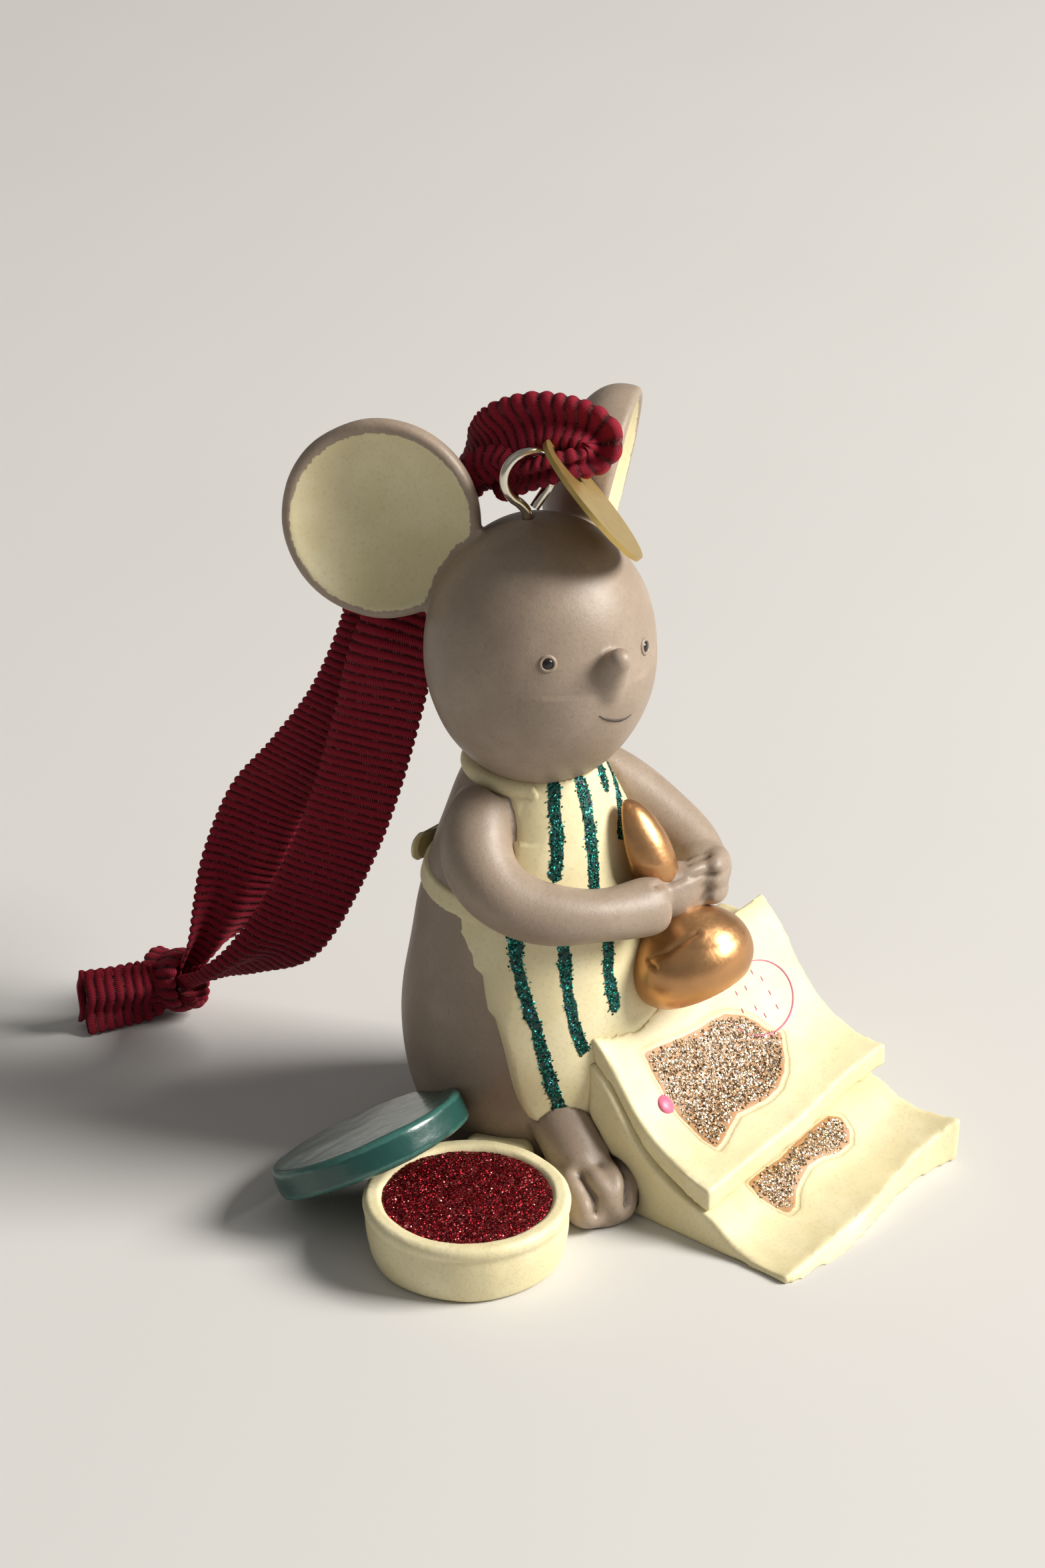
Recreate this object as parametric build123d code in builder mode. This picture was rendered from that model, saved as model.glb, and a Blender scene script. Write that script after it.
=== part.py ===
"""Seated mouse ornament with a stamp, two sheets of paper, an ink pot, a screw eye, a tag and a ribbon.

Millimetres, +Z up. The mouse faces -Y and its right side is -X. The origin is the middle of the flat seat
under the torso.
"""
import math
import os

from build123d import *

# Driving dimensions of the figure
torso_height = 52.0
torso_radius = 16.0
head_radius = 13.6
head_half_height = 16.5
head_forward = 1.0
neck_sink = 3.0
head_turn = -14.0
cut_overrun = 6.0

# Profile of the torso from the seat to the neck, as shares of its height and radius
torso_profile_shares = (
    (0.00, 0.66),
    (0.07, 0.83),
    (0.20, 0.965),
    (0.32, 1.0),
    (0.52, 0.92),
    (0.66, 0.83),
    (0.81, 0.69),
    (0.93, 0.55),
    (1.00, 0.44),
)

head_z = torso_height - neck_sink + head_half_height
crown_z = head_z + head_half_height
facing = Vector(math.sin(math.radians(head_turn)), -math.cos(math.radians(head_turn)), 0)
head_centre = Vector(0, -head_forward, head_z)
upward = Vector(0, 0, 1)


def torso_outline(cover):
    """Half outline of the torso in the XZ plane, grown outwards by the thickness of a cover."""
    points = [(torso_radius * r + cover, torso_height * h) for h, r in torso_profile_shares]
    with BuildLine() as outline:
        Spline(*points)
        Polyline(points[-1], (0, torso_height), (0, 0), points[0])
    return outline.line


def torso_radius_at(height):
    """Radius of the bare torso at a height, read between the profile's points."""
    stations = [(torso_height * h, torso_radius * r) for h, r in torso_profile_shares]
    for (low, r_low), (high, r_high) in zip(stations, stations[1:]):
        if low <= height <= high:
            return r_low + (r_high - r_low) * (height - low) / (high - low)
    return stations[-1][1]


# Profile of a rounded lump, as shares of its half length and radius
pod_profile_shares = (
    (-1.0, 0.16),
    (-0.88, 0.50),
    (-0.62, 0.80),
    (0.0, 1.0),
    (0.62, 0.80),
    (0.88, 0.50),
    (1.0, 0.16),
)


def limb(stations):
    """A limb lofted through round sections; a station is x, y, z and radius."""
    centres = [Vector(*s[:3]) for s in stations]
    with BuildPart() as limb_part:
        for i, (centre, station) in enumerate(zip(centres, stations)):
            before = centres[max(i - 1, 0)]
            after = centres[min(i + 1, len(centres) - 1)]
            with BuildSketch(Plane(origin=centre, z_dir=after - before)):
                Circle(station[3])
        loft()
    return limb_part.part


def pod(centre, direction, half_length, radius):
    """A rounded lump of round sections with its long axis along a direction."""
    stations = []
    for along, wide in pod_profile_shares:
        place = centre + direction * (half_length * along)
        stations.append((place.X, place.Y, place.Z, radius * wide))
    return limb(stations)


def placed(shares, sizes):
    """A point or a station whose entries are shares of the given sizes."""
    return tuple(share * size for share, size in zip(shares, sizes))


# Head: an upright egg that sits on the neck
stretched_sphere = scale(Sphere(head_radius), by=(1, 1, head_half_height / head_radius))
with BuildPart() as head_blank:
    with Locations(head_centre):
        add(stretched_sphere)

# Torso: pear shaped, with a flat seat
with BuildPart() as torso:
    with BuildSketch(Plane.XZ):
        add(torso_outline(0))
        make_face()
    revolve(axis=Axis.Z)
    add(head_blank.part, mode=Mode.SUBTRACT)

# Screw eye: a wire ring on a threaded shank that is driven into the crown
eye_wire = 1.1
eye_ring_radius = 3.0
eye_turn = -28.0
eye_stem = 2.1
eye_shank = 6.0
eye_aside = -0.45
bore_clearance = 0.05
eye_centre = Vector(eye_aside, -eye_aside, crown_z + eye_stem + eye_ring_radius)
eye_normal = Vector(math.sin(math.radians(eye_turn)), -math.cos(math.radians(eye_turn)), 0)
with BuildPart() as screw_eye:
    with BuildSketch(Plane(origin=eye_centre, x_dir=upward, z_dir=eye_normal.cross(upward))):
        with Locations((eye_ring_radius, 0)):
            Circle(eye_wire / 2)
    revolve(axis=Axis(eye_centre, eye_normal))
    with BuildSketch(Plane.XY.offset(crown_z - eye_shank)):
        with Locations((eye_centre.X, eye_centre.Y)):
            Circle(eye_wire / 2)
    extrude(amount=eye_shank + eye_stem)

with BuildPart() as head:
    add(head_blank.part)
    with BuildSketch(Plane.XY.offset(crown_z - eye_shank)):
        with Locations((eye_centre.X, eye_centre.Y)):
            Circle(eye_wire / 2 + bore_clearance)
    extrude(amount=eye_shank + eye_stem, mode=Mode.SUBTRACT)

# Nose: a small upturned cone
nose_tip_radius = 1.4
nose_root_radius = 3.0
nose_reach = 3.0
nose_lift = 6.0
nose_root_depth = 2.4
nose_tip = head_centre + facing * (head_radius + nose_reach - nose_tip_radius)
nose_tip = nose_tip + upward * (nose_lift - nose_tip_radius)
nose_root = head_centre + facing * (head_radius - nose_root_depth)
with BuildPart() as nose:
    with BuildSketch(Plane(origin=nose_root, z_dir=nose_tip - nose_root)):
        Circle(nose_root_radius)
    with BuildSketch(Plane(origin=nose_tip, z_dir=nose_tip - nose_root)):
        Circle(nose_tip_radius)
    loft()
    with Locations(nose_tip):
        Sphere(nose_tip_radius)
    add(head_blank.part, mode=Mode.SUBTRACT)

# Ears: round cups with a thin rim, set on the back corners of the head
ear_radius = 11.8
ear_rim = 1.5
ear_dish = 3.2
ear_back = 11.0
ear_line_turn = -23.0
ear_lines = {
    "right": {"side": -1, "out": 15.2, "up": 14.9, "depth": 6.0, "turn": -62.0, "rise": 10.0},
    "left": {"side": 1, "out": 15.8, "up": 13.2, "depth": 8.5, "turn": 29.5, "rise": -11.0},
}
ear_line = Vector(math.cos(math.radians(ear_line_turn)), math.sin(math.radians(ear_line_turn)), 0)
ear_behind = upward.cross(ear_line)


def build_ear(spec):
    """One ear as a cup revolved about its own axis."""
    turn = math.radians(spec["turn"])
    rise = math.radians(spec["rise"])
    normal = Vector(math.sin(turn) * math.cos(rise), -math.cos(turn) * math.cos(rise), math.sin(rise))
    centre = head_centre + ear_line * (spec["side"] * spec["out"])
    centre = centre + ear_behind * ear_back + upward * spec["up"]
    across = upward.cross(normal).normalized()
    with BuildPart() as ear:
        with BuildSketch(Plane(origin=centre, x_dir=normal.cross(across), z_dir=across)):
            with BuildLine():
                ThreePointArc(
                    (0, -ear_dish),
                    (ear_radius * 0.55, -ear_dish * 0.68),
                    (ear_radius - ear_rim, 0),
                )
                ThreePointArc(
                    (ear_radius - ear_rim, 0),
                    (ear_radius - ear_rim * 0.35, ear_rim * 0.12),
                    (ear_radius, -ear_rim * 0.5),
                )
                Spline(
                    (ear_radius, -ear_rim * 0.5),
                    (ear_radius * 0.72, -spec["depth"] * 0.72),
                    (0, -spec["depth"]),
                    tangents=[(0, -1), (-1, 0)],
                )
                Line((0, -spec["depth"]), (0, -ear_dish))
            make_face()
        revolve(axis=Axis(centre, normal))
        add(head_blank.part, mode=Mode.SUBTRACT)
    return ear.part


right_ear = build_ear(ear_lines["right"])
left_ear = build_ear(ear_lines["left"])

# Apron: one cover over the chest and lap, its outline drawn from the front
apron_cover = 0.9
bib_top_z = 51.6
waist_z = 36.2
hem_z = 9.2
apron_half = 14.4
bib_outline_shares = ((0.47, 1.0), (0.58, 0.87), (0.61, 0.73), (0.68, 0.50), (0.92, 0.0))
skirt_outline_shares = ((0.92, 1.0), (0.98, 0.81), (1.01, 0.57), (0.99, 0.33), (0.90, 0.10), (0.74, 0.0))
with BuildPart() as apron_cover_body:
    with BuildSketch(Plane.XZ):
        add(torso_outline(apron_cover))
        make_face()
    revolve(axis=Axis.Z)
    add(torso.part, mode=Mode.SUBTRACT)
    add(head_blank.part, mode=Mode.SUBTRACT)


def build_apron_panel(outline_shares, foot, top):
    """Part of the cover inside an outline, the same on both sides; shares are of half width and height."""
    right_edge = [(apron_half * x, foot + (top - foot) * z) for x, z in outline_shares]
    left_edge = [(-x, z) for x, z in right_edge]
    with BuildPart() as panel:
        with BuildSketch(Plane.XZ):
            with BuildLine():
                Spline(*right_edge)
                Line(right_edge[-1], left_edge[-1])
                Spline(*left_edge)
                Line(left_edge[0], right_edge[0])
            make_face()
        extrude(amount=torso_radius + apron_cover)
        add(apron_cover_body.part, mode=Mode.INTERSECT)
    return panel.part


apron_bib = build_apron_panel(bib_outline_shares, waist_z, bib_top_z)
apron_skirt = build_apron_panel(skirt_outline_shares, hem_z, waist_z)

# Straps: one behind the neck, one round the waist with a small bow at the back
strap_width = 2.2
strap_cover = 0.7
neck_strap_z = 50.6
neck_strap_tube = 1.15
neck_strap_radius = torso_radius_at(neck_strap_z) + neck_strap_tube / 3
bib_top_half = apron_half * bib_outline_shares[0][0]
with BuildPart() as neck_strap:
    with BuildSketch(Plane.XZ.offset(0)):
        with Locations((neck_strap_radius, neck_strap_z)):
            Circle(neck_strap_tube)
    revolve(axis=Axis.Z)
    with BuildSketch(Plane.XZ):
        with Locations((0, neck_strap_z)):
            Rectangle(2 * bib_top_half, 2 * neck_strap_tube + cut_overrun)
    extrude(amount=torso_radius, mode=Mode.SUBTRACT)
    add(torso.part, mode=Mode.SUBTRACT)
    add(head_blank.part, mode=Mode.SUBTRACT)
    add(apron_bib, mode=Mode.SUBTRACT)

with BuildPart() as waist_tie:
    with BuildSketch(Plane.XZ):
        add(torso_outline(strap_cover))
        make_face()
    revolve(axis=Axis.Z)
    with BuildSketch(Plane.XY.offset(waist_z - strap_width / 2)):
        Circle(torso_radius + cut_overrun)
    extrude(amount=strap_width, mode=Mode.INTERSECT)
    add(torso.part, mode=Mode.SUBTRACT)
    add(apron_skirt, mode=Mode.SUBTRACT)
    add(apron_bib, mode=Mode.SUBTRACT)

bow_lobe_length = 6.0
bow_lobe_height = 3.6
bow_knot_radius = 1.5
bow_back = torso_radius_at(waist_z - strap_width / 2) + strap_cover
with BuildPart() as apron_bow:
    with BuildSketch(Plane.XZ.offset(-bow_back)):
        with Locations((-bow_lobe_length / 2, waist_z), (bow_lobe_length / 2, waist_z)):
            SlotOverall(bow_lobe_length + bow_knot_radius, bow_lobe_height)
    extrude(amount=-strap_cover)
    with BuildSketch(Plane.XZ.offset(-bow_back)):
        with Locations((0, waist_z)):
            Circle(bow_knot_radius)
    extrude(amount=-2 * strap_cover)

# Arms: tapered limbs that wrap round the bib to the stamp, cut to lie on the torso
arm_radius = 4.2
arm_sizes = (torso_radius, torso_radius, torso_height, arm_radius)
right_arm_shares = (
    (-0.475, 0.06, 0.915, 0.84),
    (-0.71, -0.05, 0.885, 0.97),
    (-0.85, -0.225, 0.820, 1.00),
    (-0.825, -0.50, 0.765, 0.93),
    (-0.60, -0.80, 0.733, 0.83),
    (-0.25, -1.01, 0.720, 0.76),
    (0.12, -1.11, 0.712, 0.72),
)
left_arm_shares = (
    (0.45, 0.06, 0.908, 0.83),
    (0.63, -0.14, 0.870, 0.92),
    (0.76, -0.39, 0.815, 0.94),
    (0.83, -0.65, 0.765, 0.88),
    (0.83, -0.86, 0.730, 0.80),
    (0.76, -1.00, 0.708, 0.74),
)
right_arm_route = [placed(shares, arm_sizes) for shares in right_arm_shares]
left_arm_route = [placed(shares, arm_sizes) for shares in left_arm_shares]


def build_arm(route):
    """A limb along a route, cut to sit against the torso and the apron."""
    with BuildPart() as arm:
        add(limb(route))
        add(torso.part, mode=Mode.SUBTRACT)
        add(apron_bib, mode=Mode.SUBTRACT)
        add(apron_skirt, mode=Mode.SUBTRACT)
        add(waist_tie.part, mode=Mode.SUBTRACT)
        add(neck_strap.part, mode=Mode.SUBTRACT)
        add(head_blank.part, mode=Mode.SUBTRACT)
    return arm.part


right_arm = build_arm(right_arm_route)
left_arm = build_arm(left_arm_route)

# Stamp: an egg-shaped handle on a flared head, leaning back towards the chest
stamp_foot = Vector(torso_radius * 0.44, -torso_radius * 1.27, torso_height * 0.462)
stamp_lean_back = 26.0
stamp_lean_side = -5.0
stamp_base_radius = 6.9
stamp_head_radius = 7.7
stamp_band_height = 6.8
stamp_shoulder_radius = 6.7
stamp_neck_radius = 1.9
stamp_neck_height = 11.6
stamp_handle_radius = 3.2
stamp_length = 24.8
stamp_edge = 1.0
stamp_axis = Vector(0, 0, 1).rotate(Axis.X, -stamp_lean_back).rotate(Axis.Y, stamp_lean_side)
stamp_side = stamp_axis.cross(Vector(0, 1, 0)).normalized()
stamp_profile_plane = Plane(origin=stamp_foot, x_dir=stamp_side, z_dir=stamp_side.cross(stamp_axis))
stamp_spindle = Axis(stamp_foot, stamp_axis)
with BuildPart() as stamp_head:
    with BuildSketch(stamp_profile_plane):
        with BuildLine():
            Polyline((0, stamp_neck_height), (0, 0), (stamp_base_radius - stamp_edge, 0))
            ThreePointArc(
                (stamp_base_radius - stamp_edge, 0),
                (stamp_head_radius, stamp_band_height * 0.42),
                (stamp_shoulder_radius, stamp_band_height),
            )
            Spline(
                (stamp_shoulder_radius, stamp_band_height),
                (stamp_shoulder_radius * 0.9, stamp_band_height + stamp_edge * 0.8),
                (stamp_neck_radius * 1.7, stamp_neck_height - stamp_edge * 1.3),
                (stamp_neck_radius, stamp_neck_height),
            )
            Line((stamp_neck_radius, stamp_neck_height), (0, stamp_neck_height))
        make_face()
    revolve(axis=stamp_spindle)
    add(torso.part, mode=Mode.SUBTRACT)
    add(apron_bib, mode=Mode.SUBTRACT)
    add(apron_skirt, mode=Mode.SUBTRACT)

handle_half = (stamp_length - stamp_neck_height) * 0.56
handle_centre = stamp_foot + stamp_axis * (stamp_length - handle_half)
with BuildPart() as stamp_handle:
    add(pod(handle_centre, stamp_axis, handle_half, stamp_handle_radius))
    add(stamp_head.part, mode=Mode.SUBTRACT)
    add(torso.part, mode=Mode.SUBTRACT)
    add(apron_bib, mode=Mode.SUBTRACT)
    add(apron_skirt, mode=Mode.SUBTRACT)

# Hands: a palm with three fingers each, closed on the neck of the stamp
palm_radius = 3.3
palm_half_length = 4.0
finger_radius = 1.45
finger_half_length = 2.9
finger_reach = 2.0
hand_sizes = (torso_radius, torso_radius, torso_height)
right_palm_shares = (0.33, -1.05, 0.705)
left_palm_shares = (0.73, -1.04, 0.712)
right_reach = Vector(1, 0.05, 0.1).normalized()
left_reach = Vector(-0.85, -0.45, 0.1).normalized()


def build_hand(palm_shares, reach, others):
    """A palm ellipsoid with three fingers side by side, cut back by the pieces that it meets."""
    palm = Vector(*placed(palm_shares, hand_sizes))
    across = reach.cross(upward).cross(reach).normalized()
    with BuildPart() as hand:
        add(pod(palm, reach, palm_half_length, palm_radius))
        for k in (-1, 0, 1):
            finger = palm + reach * finger_reach + across * (k * (palm_radius - finger_radius))
            outwards = Vector(finger.X, finger.Y, 0).normalized() * (palm_radius - finger_radius)
            add(pod(finger + outwards, reach, finger_half_length, finger_radius))
        for other in others:
            add(other, mode=Mode.SUBTRACT)
    return hand.part


covers = [torso.part, apron_bib, apron_skirt, stamp_handle.part, stamp_head.part]
right_hand = build_hand(right_palm_shares, right_reach, covers + [right_arm])
left_hand = build_hand(left_palm_shares, left_reach, covers + [left_arm, right_hand])

# Right leg and foot: a short ankle below the hem and a paw with three toes
leg_radius = 3.9
leg_top = Vector(-torso_radius * 0.52, -torso_radius * 0.60, torso_height * 0.23)
ankle = Vector(-torso_radius * 0.58, -torso_radius * 0.98, leg_radius * 1.2)
foot_half_length = 6.2
foot_half_width = 5.2
foot_height = 6.6
foot_centre = Vector(-torso_radius * 0.60, -torso_radius * 1.04, 0)
foot_turn = -8.0
toe_radius = 2.5
toe_spread_shares = (-0.62, 0.0, 0.62)
with BuildPart() as right_leg:
    with BuildSketch(Plane(origin=leg_top, z_dir=ankle - leg_top)):
        Circle(leg_radius)
    with BuildSketch(Plane(origin=ankle, z_dir=ankle - leg_top)):
        Circle(leg_radius * 0.95)
    loft()
    add(torso.part, mode=Mode.SUBTRACT)
    add(apron_skirt, mode=Mode.SUBTRACT)
    with BuildSketch(Plane.XY):
        Rectangle(8 * torso_radius, 8 * torso_radius)
    extrude(amount=-torso_radius, mode=Mode.SUBTRACT)

foot_plane = Plane(origin=foot_centre, x_dir=Vector(1, 0, 0).rotate(Axis.Z, foot_turn), z_dir=(0, 0, 1))
with BuildPart() as right_foot:
    with BuildSketch(foot_plane):
        Ellipse(foot_half_length, foot_half_width, rotation=90)
    extrude(amount=foot_height)
    fillet(right_foot.faces().sort_by(Axis.Z)[-1].edges(), foot_height * 0.48)
    fillet(right_foot.faces().sort_by(Axis.Z)[0].edges(), foot_height * 0.16)
    for share in toe_spread_shares:
        toe_y = -(foot_half_length - toe_radius * 0.75) + abs(share) * toe_radius * 0.8
        toe = foot_plane.from_local_coords(Vector(foot_half_width * share, toe_y, toe_radius))
        with Locations(toe):
            Sphere(toe_radius)
    add(right_leg.part, mode=Mode.SUBTRACT)
    add(torso.part, mode=Mode.SUBTRACT)
    add(apron_skirt, mode=Mode.SUBTRACT)

# Left leg: a thigh that slopes out under the paper
thigh_radius = 6.6
hip = Vector(torso_radius * 0.55, -torso_radius * 0.20, thigh_radius * 1.25)
knee = Vector(torso_radius * 1.05, -torso_radius * 1.05, thigh_radius * 1.6)
with BuildPart() as left_leg:
    add(pod((hip + knee) / 2, (knee - hip).normalized(), (knee - hip).length * 0.78, thigh_radius))
    add(torso.part, mode=Mode.SUBTRACT)
    add(apron_skirt, mode=Mode.SUBTRACT)
    with BuildSketch(Plane.XY):
        Rectangle(8 * torso_radius, 8 * torso_radius)
    extrude(amount=-torso_radius, mode=Mode.SUBTRACT)

# Tail: curls round the back to the mouse's left side, lying on the table
tail_radius = 2.0
tail_sizes = (torso_radius, torso_radius, tail_radius, tail_radius)
tail_shares = (
    (0.19, 0.82, 1.5, 1.0),
    (0.50, 1.06, 1.0, 0.95),
    (0.88, 1.08, 0.85, 0.80),
    (1.19, 0.84, 0.72, 0.68),
    (1.35, 0.48, 0.62, 0.58),
    (1.35, 0.10, 0.50, 0.45),
)
tail_route = [placed(shares, tail_sizes) for shares in tail_shares]
with BuildPart() as tail:
    add(limb(tail_route))
    add(torso.part, mode=Mode.SUBTRACT)

# Paper: two thick wavy sheets that slide from the lap to the table, the lower one solid beneath
sheet_left = -7.4
sheet_right = 27.5
lap_back = 13.4
block_back = 8.0
lap_front = 15.0
lap_height = 23.4
sheet_run = 18.0
lower_reach = 12.0
sheet_thickness = 3.0
sheet_cross_slope = 5.5
sheet_step = 0.9
edge_wave = 1.2
top_slope_shares = (
    (-0.40, 1.03),
    (0.00, 0.99),
    (0.22, 0.80),
    (0.42, 0.60),
    (0.62, 0.49),
    (0.82, 0.42),
    (1.00, 0.385),
)
lower_slope_shares = ((0.08, 0.235), (0.35, 0.15), (0.62, 0.118), (1.00, 0.125))
sheet_mid = (sheet_left + sheet_right) / 2
top_front = lap_front + sheet_run
lower_front = top_front + lower_reach
cross_rise = math.tan(math.radians(sheet_cross_slope))
sheet_span = sheet_right - sheet_left + 2 * cut_overrun
lower_left = sheet_left - sheet_step
lower_right = sheet_right - sheet_step


def slope_line(drop):
    """Points of the top sheet's fall in the YZ plane, sunk below the paper's face by drop."""
    return [(lap_front + sheet_run * s, lap_height * h - drop) for s, h in top_slope_shares]


def paper_outline(left, right, back, front, wave):
    """Outline of a sheet from above, with a wavy front edge and slightly hollow sides."""
    width = right - left
    with BuildLine() as outline:
        Line((left, -back), (right, -back))
        Spline((right, -back), (right - wave, -(back + front) / 2), (right + wave / 2, -front))
        Spline(
            (right + wave / 2, -front),
            (left + width * 0.72, -front + wave),
            (left + width * 0.35, -front - wave),
            (left, -front),
        )
        Spline((left, -front), (left + wave / 2, -(back + front) / 2), (left, -back))
    return outline.line


def tilted_slab(face_line, under_points):
    """A slab with an outline in the YZ plane, run across the paper and raised towards its left."""
    start = Vector(sheet_left - cut_overrun, 0, -(sheet_mid - sheet_left + cut_overrun) * cross_rise)
    towards_right = Vector(-1, 0, -cross_rise).normalized()
    with BuildPart() as slab:
        with BuildSketch(Plane(origin=start, x_dir=(0, -1, 0), z_dir=towards_right)):
            with BuildLine():
                Spline(*face_line)
                Line(face_line[-1], under_points[0])
                if len(under_points) > 2:
                    Spline(*under_points)
                else:
                    Line(*under_points)
                Line(under_points[-1], face_line[0])
            make_face()
        extrude(amount=-sheet_span / math.cos(math.radians(sheet_cross_slope)))
    return slab.part


under_line = slope_line(sheet_thickness)
lower_tail = [(top_front + lower_reach * s, lap_height * h) for s, h in lower_slope_shares]
lower_line = under_line[:-1] + lower_tail
with BuildPart() as top_sheet:
    with BuildSketch(Plane.XY):
        add(paper_outline(sheet_left, sheet_right, lap_back, top_front, edge_wave / 2))
        make_face()
    extrude(amount=2 * lap_height)
    add(tilted_slab(slope_line(0), under_line[::-1]), mode=Mode.INTERSECT)
    for cover in (torso.part, apron_skirt, stamp_head.part, right_leg.part, right_foot.part):
        add(cover, mode=Mode.SUBTRACT)

with BuildPart() as lower_sheet:
    with BuildSketch(Plane.XY):
        add(paper_outline(lower_left, lower_right, block_back, lower_front, edge_wave))
        make_face()
    extrude(amount=2 * lap_height)
    floor_line = [(lower_front + cut_overrun, -cut_overrun), (lower_line[0][0], -cut_overrun)]
    add(tilted_slab(lower_line, floor_line), mode=Mode.INTERSECT)
    for cover in (torso.part, apron_skirt, stamp_head.part, right_leg.part, right_foot.part, top_sheet.part):
        add(cover, mode=Mode.SUBTRACT)
    add(left_leg.part, mode=Mode.SUBTRACT)

# Ink pot: a low round tin with a rolled lip, filled nearly to the brim
pot_aside = 26.4
pot_forward = 12.0
pot_centre = Vector(-pot_aside, -pot_forward, 0)
pot_radius = 12.2
pot_foot_radius = 11.2
pot_height = 8.0
pot_opening = 9.9
pot_lip = 1.7
pot_lip_step = 0.35
pot_floor = 2.0
ink_drop = 0.6
ink_dome = 0.35
pot_edge = 0.5
pot_plane = Plane(origin=pot_centre, x_dir=(1, 0, 0), z_dir=(0, -1, 0))
pot_spindle = Axis(pot_centre, (0, 0, 1))
with BuildPart() as ink_pot:
    with BuildSketch(pot_plane):
        with BuildLine():
            Polyline(
                (0, pot_floor),
                (0, 0),
                (pot_foot_radius - pot_edge, 0),
            )
            Line((pot_foot_radius - pot_edge, 0), (pot_foot_radius, pot_edge))
            Spline(
                (pot_foot_radius, pot_edge),
                (pot_radius - pot_lip_step, pot_height * 0.45),
                (pot_radius - pot_lip_step, pot_height - pot_lip),
            )
            Polyline(
                (pot_radius - pot_lip_step, pot_height - pot_lip),
                (pot_radius, pot_height - pot_lip + pot_lip_step),
                (pot_radius, pot_height - pot_edge),
                (pot_radius - pot_edge, pot_height),
                (pot_opening + pot_edge, pot_height),
                (pot_opening, pot_height - pot_edge),
                (pot_opening, pot_floor),
                (0, pot_floor),
            )
        make_face()
    revolve(axis=pot_spindle)
    for cover in (torso.part, apron_skirt, right_leg.part, right_foot.part):
        add(cover, mode=Mode.SUBTRACT)

ink_top = pot_height - ink_drop
with BuildPart() as ink_fill:
    with BuildSketch(Plane(origin=pot_centre + upward * pot_floor)):
        Circle(pot_opening)
    extrude(amount=ink_top - pot_floor)
    chamfer(ink_fill.faces().sort_by(Axis.Z)[-1].edges(), ink_dome, ink_dome * 3)

# Ink lid: leans with its low edge on the table and its underside on the pot's rim
lid_radius = 12.2
lid_thickness = 3.9
lid_lean = 31.0
lid_shift = 1.1
lid_edge = 0.7
lean = math.radians(lid_lean)
lid_low_y = pot_centre.Y + pot_radius + pot_height / math.tan(lean)
lid_foot = Vector(
    pot_centre.X + lid_shift,
    lid_low_y - lid_radius * math.cos(lean),
    lid_radius * math.sin(lean),
)
lid_normal = Vector(0, math.sin(lean), math.cos(lean))
with BuildPart() as ink_lid:
    with BuildSketch(Plane(origin=lid_foot, x_dir=(1, 0, 0), z_dir=lid_normal)):
        Circle(lid_radius)
    extrude(amount=lid_thickness)
    fillet(ink_lid.edges().filter_by(GeomType.CIRCLE), lid_edge)
    for cover in (torso, ink_pot):
        add(cover.part, mode=Mode.SUBTRACT)

# Bead of resin that ties the pot and the lid to the torso
bead_radius = 4.4
bead_height = 7.2
bead_share = 0.56
with BuildPart() as pot_bead:
    with BuildSketch(Plane.XY):
        with Locations((pot_centre.X * bead_share, pot_centre.Y * bead_share)):
            Circle(bead_radius)
    extrude(amount=bead_height)
    fillet(pot_bead.faces().sort_by(Axis.Z)[-1].edges(), bead_radius / 3)
    for cover in (torso, ink_pot, ink_lid, right_leg, right_foot, ink_fill):
        add(cover.part, mode=Mode.SUBTRACT)
    add(apron_skirt, mode=Mode.SUBTRACT)

# Ribbon: a gathered fold through the screw eye and the tag, then two legs, a knot and two ends
ribbon_width = 10.0
ribbon_thickness = 0.9
bend_radius = 1.9
bend_length = 5.4
bend_turn = -5.0
bend_aside = 0.8
bend_behind = 7.4
bend_rise = 5.0
bend_centre = Vector(bend_aside, bend_behind, crown_z + bend_rise)
bend_axis = Vector(math.cos(math.radians(bend_turn)), math.sin(math.radians(bend_turn)), 0)
fold_sizes = (bend_rise, bend_behind, bend_rise)
fold_shares = (
    ((-0.02, 0.86, -0.12), (0, 0, -1), (0.50, 0.16)),
    ((-0.14, 0.43, -0.08), (0, 0, -1), (0.42, 0.17)),
    ((-0.24, 0.05, 0.04), (0, 0, -1), (0.25, 0.18)),
    ((0.10, -0.47, 0.38), (0.3, -0.36, -0.88), (0.24, 0.17)),
    ((0.58, -0.73, 0.46), (0.6, -0.72, -0.35), (0.34, 0.18)),
    ((0.90, -0.74, 0.82), (0.64, -0.77, 0), (0.50, 0.16)),
    ((0.80, -0.46, 1.14), (0.64, -0.77, 0.15), (0.55, 0.15)),
    ((0.44, 0.20, 1.26), (0.45, -0.40, 0.80), (0.48, 0.15)),
    ((0.18, 0.50, 0.96), (0.1, 0.1, 1), (0.52, 0.18)),
    ((0.04, 0.74, 0.44), (0, 0, 1), (0.52, 0.20)),
)
fold_centres = [
    Vector(bend_centre.X, 0, bend_centre.Z) + Vector(*placed(place_shares, fold_sizes))
    for place_shares, across_shares, section_shares in fold_shares
]
with BuildPart() as ribbon_fold:
    for i, (place_shares, across_shares, section_shares) in enumerate(fold_shares):
        along = fold_centres[min(i + 1, len(fold_centres) - 1)] - fold_centres[max(i - 1, 0)]
        across = Vector(*across_shares)
        across = across - along * (across.dot(along) / along.dot(along))
        with BuildSketch(Plane(origin=fold_centres[i], x_dir=across, z_dir=along)):
            Rectangle(ribbon_width * section_shares[0], ribbon_width * section_shares[1])
    loft(ruled=True)
    with BuildSketch(Plane(origin=bend_centre - bend_axis * (bend_length / 2), z_dir=bend_axis)):
        Circle(bend_radius)
    extrude(amount=bend_length)

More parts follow.
